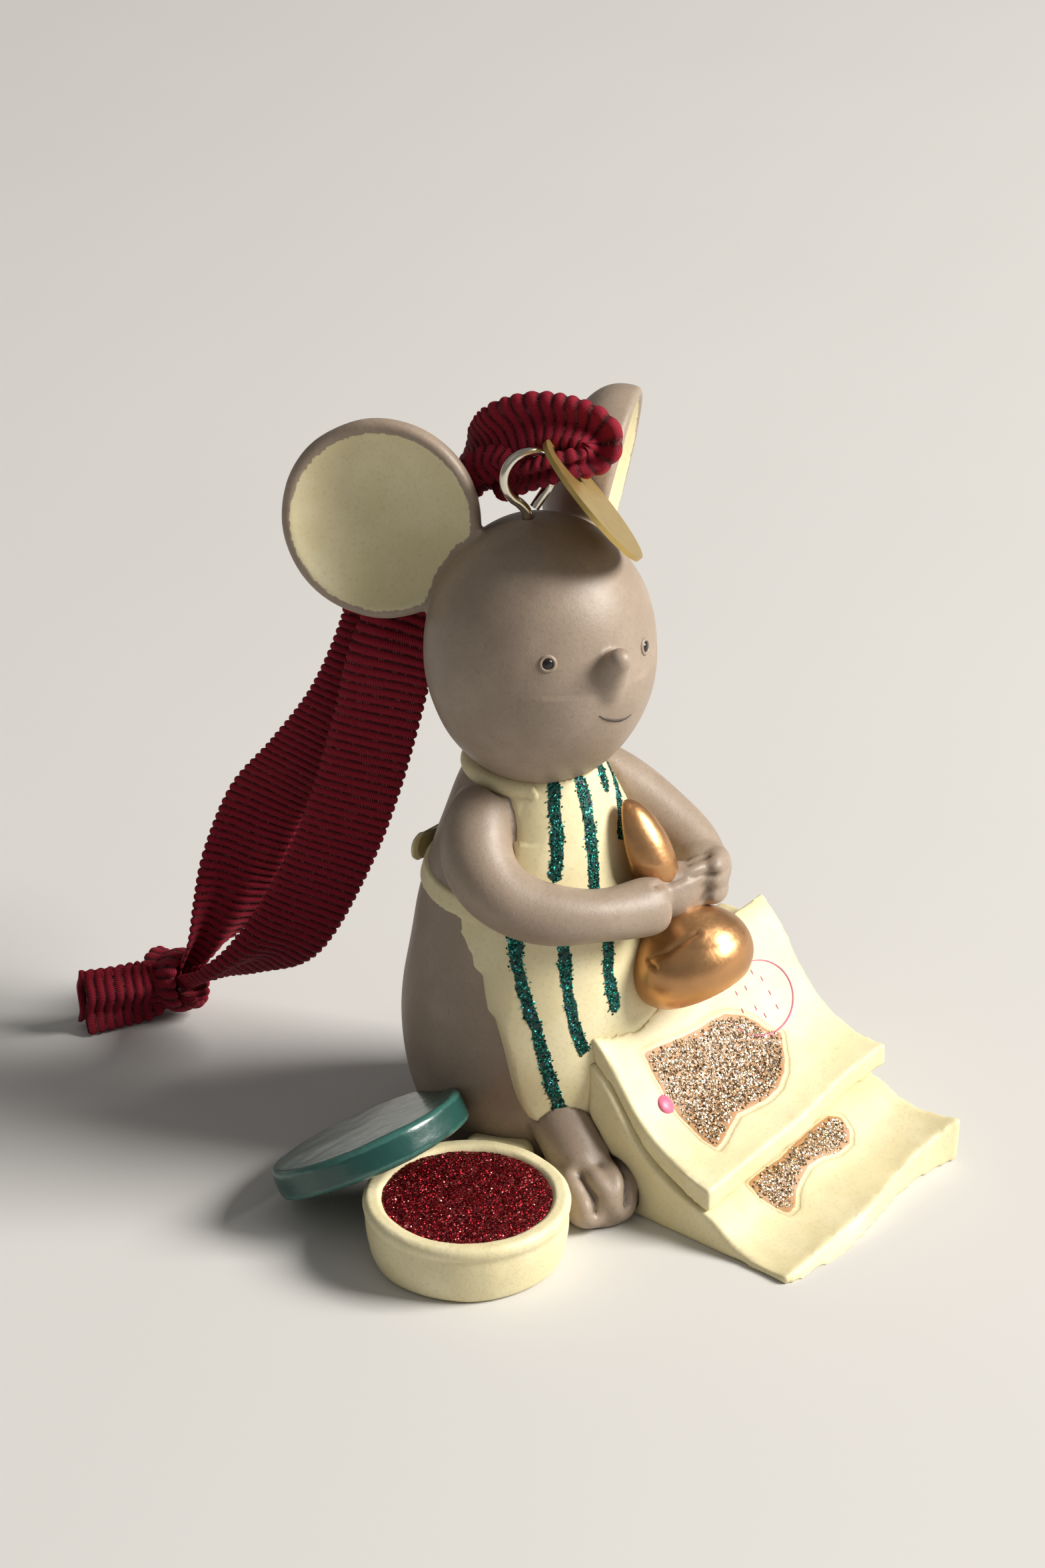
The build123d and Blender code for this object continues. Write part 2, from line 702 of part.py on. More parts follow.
knot_aside = -8.4
knot_behind = 52.6
knot_height = 4.6
knot_centre = Vector(knot_aside, knot_behind, knot_height)
knot_half_length = 4.6
knot_radius = 4.2
knot_direction = Vector(-0.15, 0.95, -0.25).normalized()
with BuildPart() as ribbon_knot:
    add(pod(knot_centre, knot_direction, knot_half_length, knot_radius))

ribbon_run = knot_behind - bend_behind
leg_sizes = (ribbon_width, ribbon_run, bend_centre.Z)
near_leg_shares = (
    (0.00, 0.052, 0.968, 0.50, 0),
    (0.00, 0.105, 0.928, 0.50, 0),
    (-0.10, 0.160, 0.868, 0.60, 15),
    (-0.34, 0.198, 0.790, 0.80, 40),
    (-0.66, 0.208, 0.706, 1.00, 50),
    (-0.72, 0.256, 0.600, 1.00, 50),
    (-0.76, 0.320, 0.486, 1.00, 50),
    (-0.81, 0.410, 0.366, 1.00, 50),
    (-0.88, 0.530, 0.240, 1.00, 50),
    (-0.94, 0.630, 0.172, 0.95, 45),
    (-0.99, 0.760, 0.122, 0.75, 30),
    (-0.97, 0.860, 0.092, 0.55, 15),
    (-0.94, 0.935, 0.068, 0.45, 5),
)
far_leg_shares = (
    (0.02, 0.066, 0.988, 0.50, 0),
    (0.03, 0.135, 0.960, 0.55, 0),
    (0.00, 0.235, 0.900, 0.65, 20),
    (-0.20, 0.290, 0.810, 0.90, 40),
    (-0.35, 0.310, 0.706, 1.00, 50),
    (-0.41, 0.410, 0.590, 1.00, 50),
    (-0.49, 0.545, 0.487, 1.00, 50),
    (-0.57, 0.685, 0.392, 1.00, 50),
    (-0.63, 0.780, 0.280, 1.00, 50),
    (-0.68, 0.835, 0.195, 0.90, 40),
    (-0.76, 0.890, 0.132, 0.65, 25),
    (-0.84, 0.955, 0.082, 0.45, 10),
)


def build_ribbon_leg(leg_shares, others):
    """A flat band along a route; each station has its place, its width share and its turn to the front."""
    centres = []
    for x, y, z, wide, turn in leg_shares:
        place = Vector(*placed((x, y, z), leg_sizes))
        centres.append(place + Vector(bend_centre.X, bend_centre.Y, 0))
    with BuildPart() as leg:
        for i, (x, y, z, wide, turn) in enumerate(leg_shares):
            along = centres[min(i + 1, len(centres) - 1)] - centres[max(i - 1, 0)]
            turned = bend_axis.rotate(Axis.Z, -turn)
            across = turned - along * (turned.dot(along) / along.dot(along))
            with BuildSketch(Plane(origin=centres[i], x_dir=across, z_dir=along)):
                Rectangle(ribbon_width * wide, ribbon_thickness)
        loft()
        for other in others:
            add(other, mode=Mode.SUBTRACT)
    return leg.part


near_leg = build_ribbon_leg(near_leg_shares, [ribbon_knot.part])
far_leg = build_ribbon_leg(far_leg_shares, [ribbon_knot.part, near_leg])

tail_end_length = 13.5
tail_end_height = 7.2
tail_end_gap = 1.0
tail_end_turn = 62.0
tail_end_rise = 0.5
ends_along = Vector(-math.sin(math.radians(tail_end_turn)), math.cos(math.radians(tail_end_turn)), 0)
ends_side = Vector(ends_along.Y, -ends_along.X, 0)
ends_start = Vector(knot_centre.X, knot_centre.Y, 0) + ends_along * (knot_radius / 4)


def build_ribbon_end(side):
    """One of the two ends beyond the knot, standing on its edge."""
    foot = ends_start + ends_side * (side * (tail_end_gap + ribbon_thickness) / 2)
    foot = foot + upward * (tail_end_rise + tail_end_height / 2)
    with BuildPart() as ribbon_end:
        with BuildSketch(Plane(origin=foot, x_dir=(0, 0, 1), z_dir=ends_along)):
            Rectangle(tail_end_height, ribbon_thickness)
        extrude(amount=tail_end_length)
        add(ribbon_knot.part, mode=Mode.SUBTRACT)
    return ribbon_end.part


front_end = build_ribbon_end(-1)
back_end = build_ribbon_end(1)

# Tag: a thin brass disc with a hole for the ribbon, leaning on the forehead
tag_radius = 8.6
tag_thickness = 0.6
tag_hole_radius = 2.6
tag_hole_inset = 3.6
tag_hole_shares = (0.44, -1.18, 0.58)
tag_hole_centre = Vector(0, 0, eye_centre.Z) + Vector(*tag_hole_shares) * eye_ring_radius
tag_down = Vector(0.118, -0.713, -0.692).normalized()
tag_normal = Vector(0.585, -0.513, 0.627)
tag_normal = (tag_normal - tag_down * tag_normal.dot(tag_down)).normalized()
tag_centre = tag_hole_centre + tag_down * (tag_radius - tag_hole_inset)
with BuildPart() as tag:
    with BuildSketch(Plane(origin=tag_centre, x_dir=tag_down, z_dir=tag_normal)):
        Circle(tag_radius)
        with Locations((-(tag_radius - tag_hole_inset), 0)):
            Circle(tag_hole_radius, mode=Mode.SUBTRACT)
    extrude(amount=tag_thickness / 2, both=True)

pieces = {
    "torso": torso.part,
    "head": head.part,
    "nose": nose.part,
    "right_ear": right_ear,
    "left_ear": left_ear,
    "apron_bib": apron_bib,
    "apron_skirt": apron_skirt,
    "neck_strap": neck_strap.part,
    "waist_tie": waist_tie.part,
    "apron_bow": apron_bow.part,
    "right_arm": right_arm,
    "left_arm": left_arm,
    "right_hand": right_hand,
    "left_hand": left_hand,
    "right_leg": right_leg.part,
    "right_foot": right_foot.part,
    "left_leg": left_leg.part,
    "tail": tail.part,
    "stamp_head": stamp_head.part,
    "stamp_handle": stamp_handle.part,
    "top_sheet": top_sheet.part,
    "lower_sheet": lower_sheet.part,
    "ink_pot": ink_pot.part,
    "ink_fill": ink_fill.part,
    "ink_lid": ink_lid.part,
    "pot_bead": pot_bead.part.solids().sort_by(SortBy.VOLUME)[-1],
    "screw_eye": screw_eye.part,
    "tag": tag.part,
    "ribbon_fold": ribbon_fold.part,
    "ribbon_near_leg": near_leg,
    "ribbon_far_leg": far_leg,
    "ribbon_knot": ribbon_knot.part,
    "ribbon_front_end": front_end,
    "ribbon_back_end": back_end,
}
os.makedirs("parts", exist_ok=True)
for piece_name, solid in pieces.items():
    solid.label = piece_name
    export_step(solid, f"parts/{piece_name}.step")
print(len(pieces), "pieces")
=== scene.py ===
# %% [markdown]
# # A seated mouse ornament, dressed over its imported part
#
# The real object is a hand-painted resin casting of a seated mouse in a striped apron. It presses a stamp on
# two thick sheets of paper, beside a pot of red glitter with its lid off. A screw eye in the crown holds a
# ribbed ribbon loop and a small round tag.
#
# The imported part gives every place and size, in metres. This file makes the soft, blended forms of the
# casting over it, the ribbon, the glitter and the paint.

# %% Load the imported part
import math

import bmesh
import bpy
import numpy as np
from mathutils import Matrix, Vector, noise
from mathutils.bvhtree import BVHTree


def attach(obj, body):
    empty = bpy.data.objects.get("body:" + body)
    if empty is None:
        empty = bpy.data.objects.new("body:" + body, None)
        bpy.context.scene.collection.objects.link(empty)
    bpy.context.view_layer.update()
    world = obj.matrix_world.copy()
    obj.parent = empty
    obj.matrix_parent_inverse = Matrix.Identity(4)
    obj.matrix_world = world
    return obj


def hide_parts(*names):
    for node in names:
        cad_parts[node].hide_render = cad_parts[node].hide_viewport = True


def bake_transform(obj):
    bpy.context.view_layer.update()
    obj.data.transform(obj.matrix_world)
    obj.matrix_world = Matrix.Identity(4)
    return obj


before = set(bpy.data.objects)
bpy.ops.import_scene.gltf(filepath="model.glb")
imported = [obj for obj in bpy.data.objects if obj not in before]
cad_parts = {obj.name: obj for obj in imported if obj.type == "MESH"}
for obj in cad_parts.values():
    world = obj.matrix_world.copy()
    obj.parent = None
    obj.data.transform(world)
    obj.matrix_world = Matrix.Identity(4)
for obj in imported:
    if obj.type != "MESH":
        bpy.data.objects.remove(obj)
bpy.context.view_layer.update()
MM = 0.001

# %% [markdown]
# ## Camera, floor and light
#
# The ornament was seen from its right front, a little above, through a long lens. One soft window-like light
# stands high at the right and a little towards the camera, and pale surroundings fill the shadows. Two area
# lamps and a pale world do this with a few settings, where an image of a studio would need a file.

# %% Camera at the photograph's angle
LENS, SENSOR = 105.0, 36.0
PHOTO_WIDE, PHOTO_TALL = 1568, 2352
EYE = Vector((-366.1, -305.5, 300.8)) * MM
azimuth, elevation = math.radians(-50), math.radians(28)
BACK = Vector((math.sin(azimuth) * math.cos(elevation), -math.cos(azimuth) * math.cos(elevation),
               math.sin(elevation)))
RIGHT = Vector((math.cos(azimuth), math.sin(azimuth), 0))
UP = BACK.cross(RIGHT)
lens_data = bpy.data.cameras.new("camera")
lens_data.lens, lens_data.sensor_width, lens_data.sensor_fit = LENS, SENSOR, "AUTO"
lens_data.clip_start, lens_data.clip_end = 0.01, 20
camera = bpy.data.objects.new("camera", lens_data)
bpy.context.scene.collection.objects.link(camera)
camera.matrix_world = Matrix.Translation(EYE) @ Matrix((RIGHT, UP, BACK)).transposed().to_4x4()
bpy.context.scene.camera = camera
print("camera is", round(EYE.length / MM), "mm away")


def ray_through(x, y):
    """Direction from the camera through a place in the photograph, in its pixels."""
    focal = LENS / SENSOR * PHOTO_TALL
    return (-BACK + RIGHT * ((x - PHOTO_WIDE / 2) / focal) - UP * ((y - PHOTO_TALL / 2) / focal)).normalized()


# %% [markdown]
# ## Meshes in millimetres
#
# Blender counts in metres, and an ornament is measured in millimetres. Each helper below changes from one to
# the other at its edge, so that all forms can be written in millimetres. A piece is edited as one table of
# points, which is far quicker than moving its vertices one by one.

# %% Helpers for meshes
def new_object(name, mesh):
    piece = bpy.data.objects.new(name, mesh)
    bpy.context.scene.collection.objects.link(piece)
    return piece


def mesh_of(name, points, faces):
    """A smooth-shaded mesh from points in millimetres."""
    mesh = bpy.data.meshes.new(name)
    mesh.from_pydata([tuple(float(c) * MM for c in p) for p in points], [], faces)
    mesh.shade_smooth()
    return mesh


def points_of(mesh):
    """The mesh's points in millimetres."""
    flat = np.empty(len(mesh.vertices) * 3)
    mesh.vertices.foreach_get("co", flat)
    return flat.reshape(-1, 3) / MM


def move_points(mesh, points):
    mesh.vertices.foreach_set("co", (points * MM).ravel())
    mesh.update()


def normals_of(mesh):
    flat = np.empty(len(mesh.vertices) * 3)
    mesh.vertex_normals.foreach_get("vector", flat)
    return flat.reshape(-1, 3)


def face_outwards(mesh):
    """Turns all faces of a closed mesh outwards."""
    turning = bmesh.new()
    turning.from_mesh(mesh)
    bmesh.ops.recalc_face_normals(turning, faces=turning.faces)
    turning.to_mesh(mesh)
    turning.free()
    mesh.shade_smooth()


def tree_of(piece):
    """A search tree of a piece's faces, for rays and nearest places."""
    return BVHTree.FromObject(piece, bpy.context.evaluated_depsgraph_get())


def settle(piece):
    """Turns the result of a piece's modifiers into its plain mesh."""
    evaluated = piece.evaluated_get(bpy.context.evaluated_depsgraph_get())
    mesh = bpy.data.meshes.new_from_object(evaluated)
    piece.modifiers.clear()
    piece.data = mesh
    mesh.shade_smooth()
    return piece


def ripple(points, size, seed=0.0):
    """Smooth random numbers from -1 to 1, one for each point, that change over a size in millimetres."""
    return np.array([noise.noise(Vector(p) / size + Vector((seed, seed * 2.3, -seed))) for p in points])


def keep_value(mesh, name, values):
    """Stores one number for each point, which a material or a node tree can read."""
    layer = mesh.attributes.new(name, "FLOAT", "POINT")
    layer.data.foreach_set("value", np.asarray(values, np.float32))


def unit(vector):
    vector = np.asarray(vector, float)
    return vector / np.linalg.norm(vector, axis=-1, keepdims=True)


# %% [markdown]
# ## One skin from several solids
#
# A casting has no seams, and the CAD solids meet in sharp ones. They could be joined by booleans and
# filleted, which fails easily on round forms. A voxel remesh always gives one closed skin instead, and a few
# rounds of smoothing turn its seams into fillets.

# %% Helper: a casting from several solids
MERGE, TOUCHING = 0.002, 0.10


def root_in_torso(skin, depth):
    """Moves the points of a skin that lie on the torso into it, by a depth in millimetres."""
    torso = bmesh.new()
    torso.from_mesh(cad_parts["torso"].data)
    torso_tree = BVHTree.FromBMesh(torso)
    for vert in skin.verts:
        _, outward, _, gap = torso_tree.find_nearest(vert.co)
        if gap < TOUCHING * MM:
            vert.co -= outward * depth * MM
    torso.free()


def cast(name, nodes, voxel, rounds, root=0.0):
    """Joins copies of CAD nodes into one skin of small voxels and softens it, as resin does in a mould.

    A thin skin is lost between voxels, so root moves its hidden inner side that many millimetres into the
    torso under it.
    """
    joined = bmesh.new()
    for node in nodes:
        single = bmesh.new()
        single.from_mesh(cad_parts[node].data)
        bmesh.ops.remove_doubles(single, verts=single.verts, dist=MERGE * MM)
        if root:
            root_in_torso(single, root)
        copy = bpy.data.meshes.new(node + "_copy")
        single.to_mesh(copy)
        joined.from_mesh(copy)
        single.free()
        bpy.data.meshes.remove(copy)
    mesh = bpy.data.meshes.new(name)
    joined.to_mesh(mesh)
    joined.free()
    piece = new_object(name, mesh)
    voxels = piece.modifiers.new("voxels", "REMESH")
    voxels.mode, voxels.voxel_size = "VOXEL", voxel * MM
    soften = piece.modifiers.new("soften", "SMOOTH")
    soften.iterations, soften.factor = rounds, 0.5
    settle(piece)
    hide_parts(*nodes)
    print(name, len(piece.data.polygons), "faces")
    return piece


def soften_near(piece, places, rounds):
    """Smooths a piece more strongly round some places, each a centre and a reach in millimetres."""
    points = points_of(piece.data)
    weight = np.zeros(len(points))
    for centre, reach in places:
        away = np.linalg.norm(points - np.array(centre), axis=1)
        weight = np.maximum(weight, np.clip(1.6 - 1.6 * away / reach, 0, 1))
    group = piece.vertex_groups.new(name="soft")
    for index in np.nonzero(weight)[0]:
        group.add([int(index)], float(weight[index]), "REPLACE")
    smooth = piece.modifiers.new("soft", "SMOOTH")
    smooth.iterations, smooth.factor, smooth.vertex_group = rounds, 0.5, "soft"
    settle(piece)
    piece.vertex_groups.clear()


# %% Floor, world and lamps
REACH, AIM = 3000, Vector((0, 0, 0.04))
floor_corners = [(-REACH, -REACH, 0), (REACH, -REACH, 0), (REACH, REACH, 0), (-REACH, REACH, 0)]
floor = new_object("floor", mesh_of("floor", floor_corners, [(0, 1, 2, 3)]))


def lamp(name, away, size, power, colour):
    """A square area lamp, given by its place from the ornament in metres, that looks at it."""
    data = bpy.data.lights.new(name, "AREA")
    data.shape, data.size, data.energy, data.color = "SQUARE", size, power, colour
    piece = bpy.data.objects.new(name, data)
    bpy.context.scene.collection.objects.link(piece)
    place = Vector(away)
    piece.location = place + AIM
    piece.rotation_mode = "QUATERNION"
    piece.rotation_quaternion = (-place).to_track_quat("-Z", "Y")


lamp("window", RIGHT * 1.40 + BACK * 0.20 + Vector((0, 0, 0.92)), size=0.72, power=54.0,
     colour=(1.0, 0.965, 0.915))
lamp("fill", RIGHT * -0.60 + BACK * 0.75 + Vector((0, 0, 0.60)), size=0.9, power=0.3,
     colour=(1.0, 0.98, 0.96))
bpy.context.scene.view_settings.view_transform = "Standard"
world = bpy.data.worlds.new("pale room")
bpy.context.scene.world = world
world.use_nodes = True
surroundings = world.node_tree.nodes["Background"].inputs
surroundings["Color"].default_value, surroundings["Strength"].default_value = (0.86, 0.85, 0.83, 1), 0.23
print("lamps:", len(bpy.data.lights))

# %% [markdown]
# ## Shader maths
#
# A painted finish is a sum of small masks: a brushed edge, a painted highlight on a ridge, a vein of noise.
# Written as node sockets these sums are hard to read, so one small class lets a socket take part in ordinary
# Python sums.

# %% Sockets that can be added and multiplied
class Wire:
    """A node's output that takes part in sums; each operator adds one Math node."""

    def __init__(self, paint, socket):
        self.paint, self.socket = paint, socket

    def out(self, name):
        return Wire(self.paint, self.socket.node.outputs[name])

    def math(self, operation, *values):
        return self.paint.node("ShaderNodeMath", {"operation": operation}, dict(enumerate(values)))

    def __add__(self, other):
        return self.math("ADD", self, other)

    def __radd__(self, other):
        return self.math("ADD", other, self)

    def __sub__(self, other):
        return self.math("SUBTRACT", self, other)

    def __rsub__(self, other):
        return self.math("SUBTRACT", other, self)

    def __mul__(self, other):
        return self.math("MULTIPLY", self, other)

    def __rmul__(self, other):
        return self.math("MULTIPLY", other, self)

    def __abs__(self):
        return self.math("ABSOLUTE", self)

    def sine(self):
        return self.math("SINE", self)

    def over(self, limit, soft):
        """A mask that rises from 0 to 1 round a limit."""
        return self.paint.node("ShaderNodeMapRange", {"interpolation_type": "SMOOTHSTEP"},
                               {"Value": self, "From Min": limit - soft, "From Max": limit + soft})


class Paint:
    """A material with one helper method for every kind of node."""

    def __init__(self, name):
        self.material = bpy.data.materials.new(name)
        self.material.use_nodes = True
        self.tree = self.material.node_tree
        self.shader = self.tree.nodes["Principled BSDF"]
        self.place = self.node("ShaderNodeTexCoord").out("Object")

    def node(self, kind, settings=None, sockets=None):
        made = self.tree.nodes.new(kind)
        for name, value in (settings or {}).items():
            if name == "stops":
                ramp = made.color_ramp
                while len(ramp.elements) < len(value):
                    ramp.elements.new(0.5)
                for element, (at, colour) in zip(ramp.elements, value):
                    element.position, element.color = at, (*colour, 1)
            else:
                setattr(made, name, value)
        for name, value in (sockets or {}).items():
            self.feed(made.inputs[name], value)
        return Wire(self, next(o for o in made.outputs if o.enabled))

    def feed(self, socket, value):
        if isinstance(value, Wire):
            self.tree.links.new(value.socket, socket)
        elif isinstance(value, tuple) and len(value) == 3 and len(socket.default_value) == 4:
            socket.default_value = (*value, 1)
        else:
            socket.default_value = value

    def speckle(self, size, detail=2.0, stretch=(1, 1, 1)):
        """Noise from 0 to 1 whose blots have a size in millimetres."""
        place = self.node("ShaderNodeMapping", None, {"Vector": self.place, "Scale": stretch})
        return self.node("ShaderNodeTexNoise", None,
                         {"Vector": place, "Scale": 1 / (size * MM), "Detail": detail, "Roughness": 0.55})

    def value(self, name):
        return self.node("ShaderNodeAttribute", {"attribute_name": name}).out("Fac")

    def mix(self, share, first, second):
        made = self.tree.nodes.new("ShaderNodeMix")
        made.data_type = "RGBA"
        for index, value in ((0, share), (6, first), (7, second)):
            self.feed(made.inputs[index], value)
        return Wire(self, made.outputs[2])

    def bump(self, height, depth):
        """A normal from a height field of 0 to 1 that stands for a depth in millimetres."""
        return self.node("ShaderNodeBump", None,
                         {"Strength": 1.0, "Distance": depth * MM, "Height": height})

    def finish(self, **inputs):
        for name, value in inputs.items():
            self.feed(self.shader.inputs[name.replace("_", " ")], value)
        return self.material


# %% [markdown]
# ## Finishes
#
# The casting is brushed with satin acrylic paint. Satin paint shows two things close up: slow drifts of tone,
# where it went on thinner, and fine ripples that break the highlight. The paints below have both, at the real
# scale. All but the head's also read a value of the mesh that says how deep in a crease a point lies. It
# gives them a darker tone there, as painted shade, and gives the glossy lid paler edges, as a painted
# highlight.

# %% Paints of the casting
def brushed(paint, base, shade, light, crease=None):
    """Colour of a hand-painted surface: slow drifts, fine grain, and painted shade in the creases."""
    slow = paint.speckle(6.0, 3.0)
    grain = paint.speckle(0.45, 2.0)
    colour = paint.mix(slow.over(0.56, 0.16), base, light)
    colour = paint.mix(grain.over(0.62, 0.12) * 0.22, colour, shade)
    # painted shade: the creases are darkened towards the shade colour
    if crease is not None:
        colour = paint.mix(crease, colour, shade)
    return colour


TAUPE, TAUPE_SHADE, TAUPE_LIGHT = (0.300, 0.230, 0.172), (0.140, 0.102, 0.072), (0.345, 0.268, 0.205)
CREAM, CREAM_SHADE, CREAM_LIGHT = (0.760, 0.670, 0.400), (0.430, 0.345, 0.170), (0.810, 0.730, 0.470)
LINING, LINING_LIGHT, BOTTLE_GREEN = (0.68, 0.60, 0.36), (0.73, 0.655, 0.42), (0.003, 0.036, 0.029)
COPPER, COPPER_LIGHT, COPPER_SHADE = (0.50, 0.255, 0.105), (0.60, 0.335, 0.155), (0.24, 0.11, 0.045)


def satin(paint, colour, rough=0.42, relief=None):
    """A satin coat with brush ripples, over a relief where the finish has one."""
    ripples = paint.speckle(0.9, 3.0) * 0.6 + paint.speckle(0.22, 1.0) * 0.4
    height = ripples if relief is None else ripples * 0.35 + relief
    roughness = rough + paint.speckle(2.5, 2.0) * 0.14
    return paint.finish(Base_Color=colour, Roughness=roughness, Normal=paint.bump(height, 0.05),
                        Coat_Weight=0.08, Coat_Roughness=0.35)


skin = Paint("taupe_paint")
# painted shade: the taupe darkens in the creases of the casting
crease = skin.value("crease").over(0.35, 0.35) * 0.75
taupe_paint = satin(skin, brushed(skin, TAUPE, TAUPE_SHADE, TAUPE_LIGHT, crease))

head_skin = Paint("head_paint")
lining = head_skin.value("lining") + head_skin.speckle(0.8, 4.0) * 0.8 - 0.4
cream_part = lining.over(0.0, 0.10)
head_colour = head_skin.mix(cream_part, brushed(head_skin, TAUPE, TAUPE_SHADE, TAUPE_LIGHT),
                            brushed(head_skin, LINING, CREAM_SHADE, LINING_LIGHT))
head_paint = satin(head_skin, head_colour)

plain = Paint("cream_paint")
# painted shade: the cream darkens in the creases of the pot
crease = plain.value("crease").over(0.35, 0.35) * 0.6
cream_paint = satin(plain, brushed(plain, CREAM, CREAM_SHADE, CREAM_LIGHT, crease), 0.46)

cloth = Paint("apron_paint")
stripe = cloth.value("stripe") + cloth.speckle(0.5, 3.0) * 0.5 - 0.25
green_part = 1 - stripe.over(0.0, 0.08)
# painted shade: the apron's cream darkens in its creases
crease = cloth.value("crease").over(0.35, 0.35) * 0.6
apron_colour = cloth.mix(green_part, brushed(cloth, CREAM, CREAM_SHADE, CREAM_LIGHT, crease), BOTTLE_GREEN)
apron_paint = satin(cloth, apron_colour, 0.44, green_part)

paper = Paint("paper_paint")
bell = paper.value("bell") + paper.speckle(0.7, 3.0) * 0.24 - 0.12
copper_line = 1 - bell.over(0.28, 0.06)
engraved = abs(bell - 0.75).over(0.16, 0.10)
# painted shade: the paper's cream darkens in its creases
crease = paper.value("crease").over(0.35, 0.35) * 0.5
paper_colour = paper.mix(copper_line, brushed(paper, CREAM, CREAM_SHADE, CREAM_LIGHT, crease),
                         (0.46, 0.24, 0.10))
paper_paint = satin(paper, paper_colour, 0.46, engraved)

metal = Paint("copper_paint")
slow = metal.speckle(3.0, 3.0)
# painted shade: the copper darkens in the creases of the stamp
crease = metal.value("crease").over(0.3, 0.3) * 0.8
copper_colour = metal.mix(crease, metal.mix(slow, COPPER, COPPER_LIGHT), COPPER_SHADE)
copper_paint = metal.finish(Base_Color=copper_colour, Metallic=0.88,
                            Roughness=metal.speckle(0.5, 3.0) * 0.16 + 0.27,
                            Normal=metal.bump(metal.speckle(0.7, 4.0) * 0.5 + metal.speckle(2.4, 2.0), 0.05))

glaze = Paint("green_gloss")
# painted highlight: the lid is paler green on its sharp edges, where the crease value is low
edge_highlight = glaze.value("crease").over(-0.32, 0.10)
lid_colour = glaze.mix(glaze.speckle(3.5, 4.0), (0.006, 0.050, 0.042), (0.013, 0.078, 0.066))
lid_colour = glaze.mix(1 - edge_highlight, lid_colour, (0.035, 0.130, 0.110))
green_gloss = glaze.finish(Base_Color=lid_colour, Roughness=glaze.speckle(1.5, 3.0) * 0.20 + 0.20,
                           Normal=glaze.bump(glaze.speckle(1.2, 4.0), 0.05), Coat_Weight=0.35,
                           Coat_Roughness=0.18)
casting_paints = (taupe_paint, head_paint, cream_paint, apron_paint, paper_paint, copper_paint, green_gloss)
print("paints of the casting:", ", ".join(made.name for made in casting_paints))

# %% [markdown]
# ## Metals, ribbon, glitter and floor
#
# The tag is brushed brass, the screw eye is pale plated wire, and the ribbon is a dull weave whose yarns
# catch the light in its grooves. A metal looks real once its roughness varies, so each has noise there. Each
# flake of glitter takes its tone from a random number of its own.

# %% Metals and ribbon
brass = Paint("tag_brass")
scratches = brass.speckle(0.6, 4.0, (1.0, 0.12, 1.0))
brass_colour = brass.mix(brass.speckle(2.0, 4.0), (0.50, 0.34, 0.10), (0.66, 0.49, 0.18))
tag_brass = brass.finish(Base_Color=brass_colour, Metallic=0.92, Roughness=scratches * 0.22 + 0.30,
                         Normal=brass.bump(scratches, 0.02))

plate = Paint("plated_steel")
plate_colour = plate.mix(plate.speckle(1.5, 3.0), (0.62, 0.57, 0.46), (0.78, 0.74, 0.64))
plated_steel = plate.finish(Base_Color=plate_colour, Metallic=1.0,
                            Roughness=plate.speckle(0.8, 3.0) * 0.12 + 0.10,
                            Normal=plate.bump(plate.speckle(0.7, 2.0), 0.02))

weave = Paint("crimson_ribbon")
track = weave.node("ShaderNodeSeparateXYZ", None, {"Vector": weave.node("ShaderNodeUVMap")})
along, across = track.out("X"), track.out("Y")
YARNS, SLANT = 34.0, 2.0
rib = abs((along * math.pi).sine())
yarn = ((across * YARNS + along * SLANT) * (2 * math.pi)).sine()
# painted shade: the grooves between the ribs are darker than the ribs
ribbon_colour = weave.mix(rib.over(0.45, 0.40), (0.024, 0.0005, 0.003), (0.235, 0.004, 0.018))
ribbon_colour = weave.mix(weave.speckle(0.3, 3.0).over(0.6, 0.2) * 0.45, ribbon_colour, (0.34, 0.008, 0.030))
groove, bright_yarn = 1 - rib.over(0.32, 0.10), (yarn * 0.5 + 0.5).over(0.82, 0.06)
glint = groove * bright_yarn * weave.speckle(0.9, 2.0).over(0.55, 0.05)
ribbon_colour = weave.mix(glint, ribbon_colour, (0.40, 0.09, 0.09))
fuzz = weave.speckle(0.12, 2.0)
crimson_ribbon = weave.finish(Base_Color=ribbon_colour, Roughness=0.72, Specular_IOR_Level=0.25,
                              Normal=weave.bump(yarn * 0.30 + fuzz * 0.5, 0.10), Sheen_Weight=0.08,
                              Sheen_Roughness=0.35, Sheen_Tint=(0.85, 0.20, 0.28))
print("brass, plated wire and ribbon are ready")

# %% Glitter, and finishes of two near tones
def glitter_paint(name, stops, rough):
    """Metallic flakes whose colour comes from each flake's own random number."""
    flakes = Paint(name)
    colour = flakes.node("ShaderNodeValToRGB", {"stops": stops}, {"Fac": flakes.value("spark")})
    return flakes.finish(Base_Color=colour, Metallic=0.9, Roughness=flakes.speckle(0.5, 1.0) * 0.10 + rough)


green_flakes = glitter_paint("green_glitter", [(0.0, (0.001, 0.022, 0.020)), (0.50, (0.004, 0.090, 0.068)),
                                              (0.80, (0.02, 0.30, 0.22)), (0.95, (0.10, 0.62, 0.55)),
                                              (1.0, (0.10, 0.25, 0.60))], 0.20)
gold_flakes = glitter_paint("gold_glitter", [(0.0, (0.12, 0.075, 0.04)), (0.40, (0.38, 0.27, 0.16)),
                                            (0.75, (0.78, 0.67, 0.50)), (1.0, (1.0, 0.96, 0.90))], 0.20)
red_flakes = glitter_paint("red_glitter", [(0.0, (0.050, 0.001, 0.003)), (0.50, (0.20, 0.004, 0.010)),
                                          (0.85, (0.45, 0.010, 0.022)), (1.0, (0.95, 0.30, 0.28))], 0.22)

bed = Paint("red_bed")
red_bed = bed.finish(Base_Color=bed.mix(bed.speckle(0.5, 3.0), (0.050, 0.001, 0.003), (0.150, 0.004, 0.008)),
                     Roughness=0.5, Normal=bed.bump(bed.speckle(0.35, 2.0), 0.15))


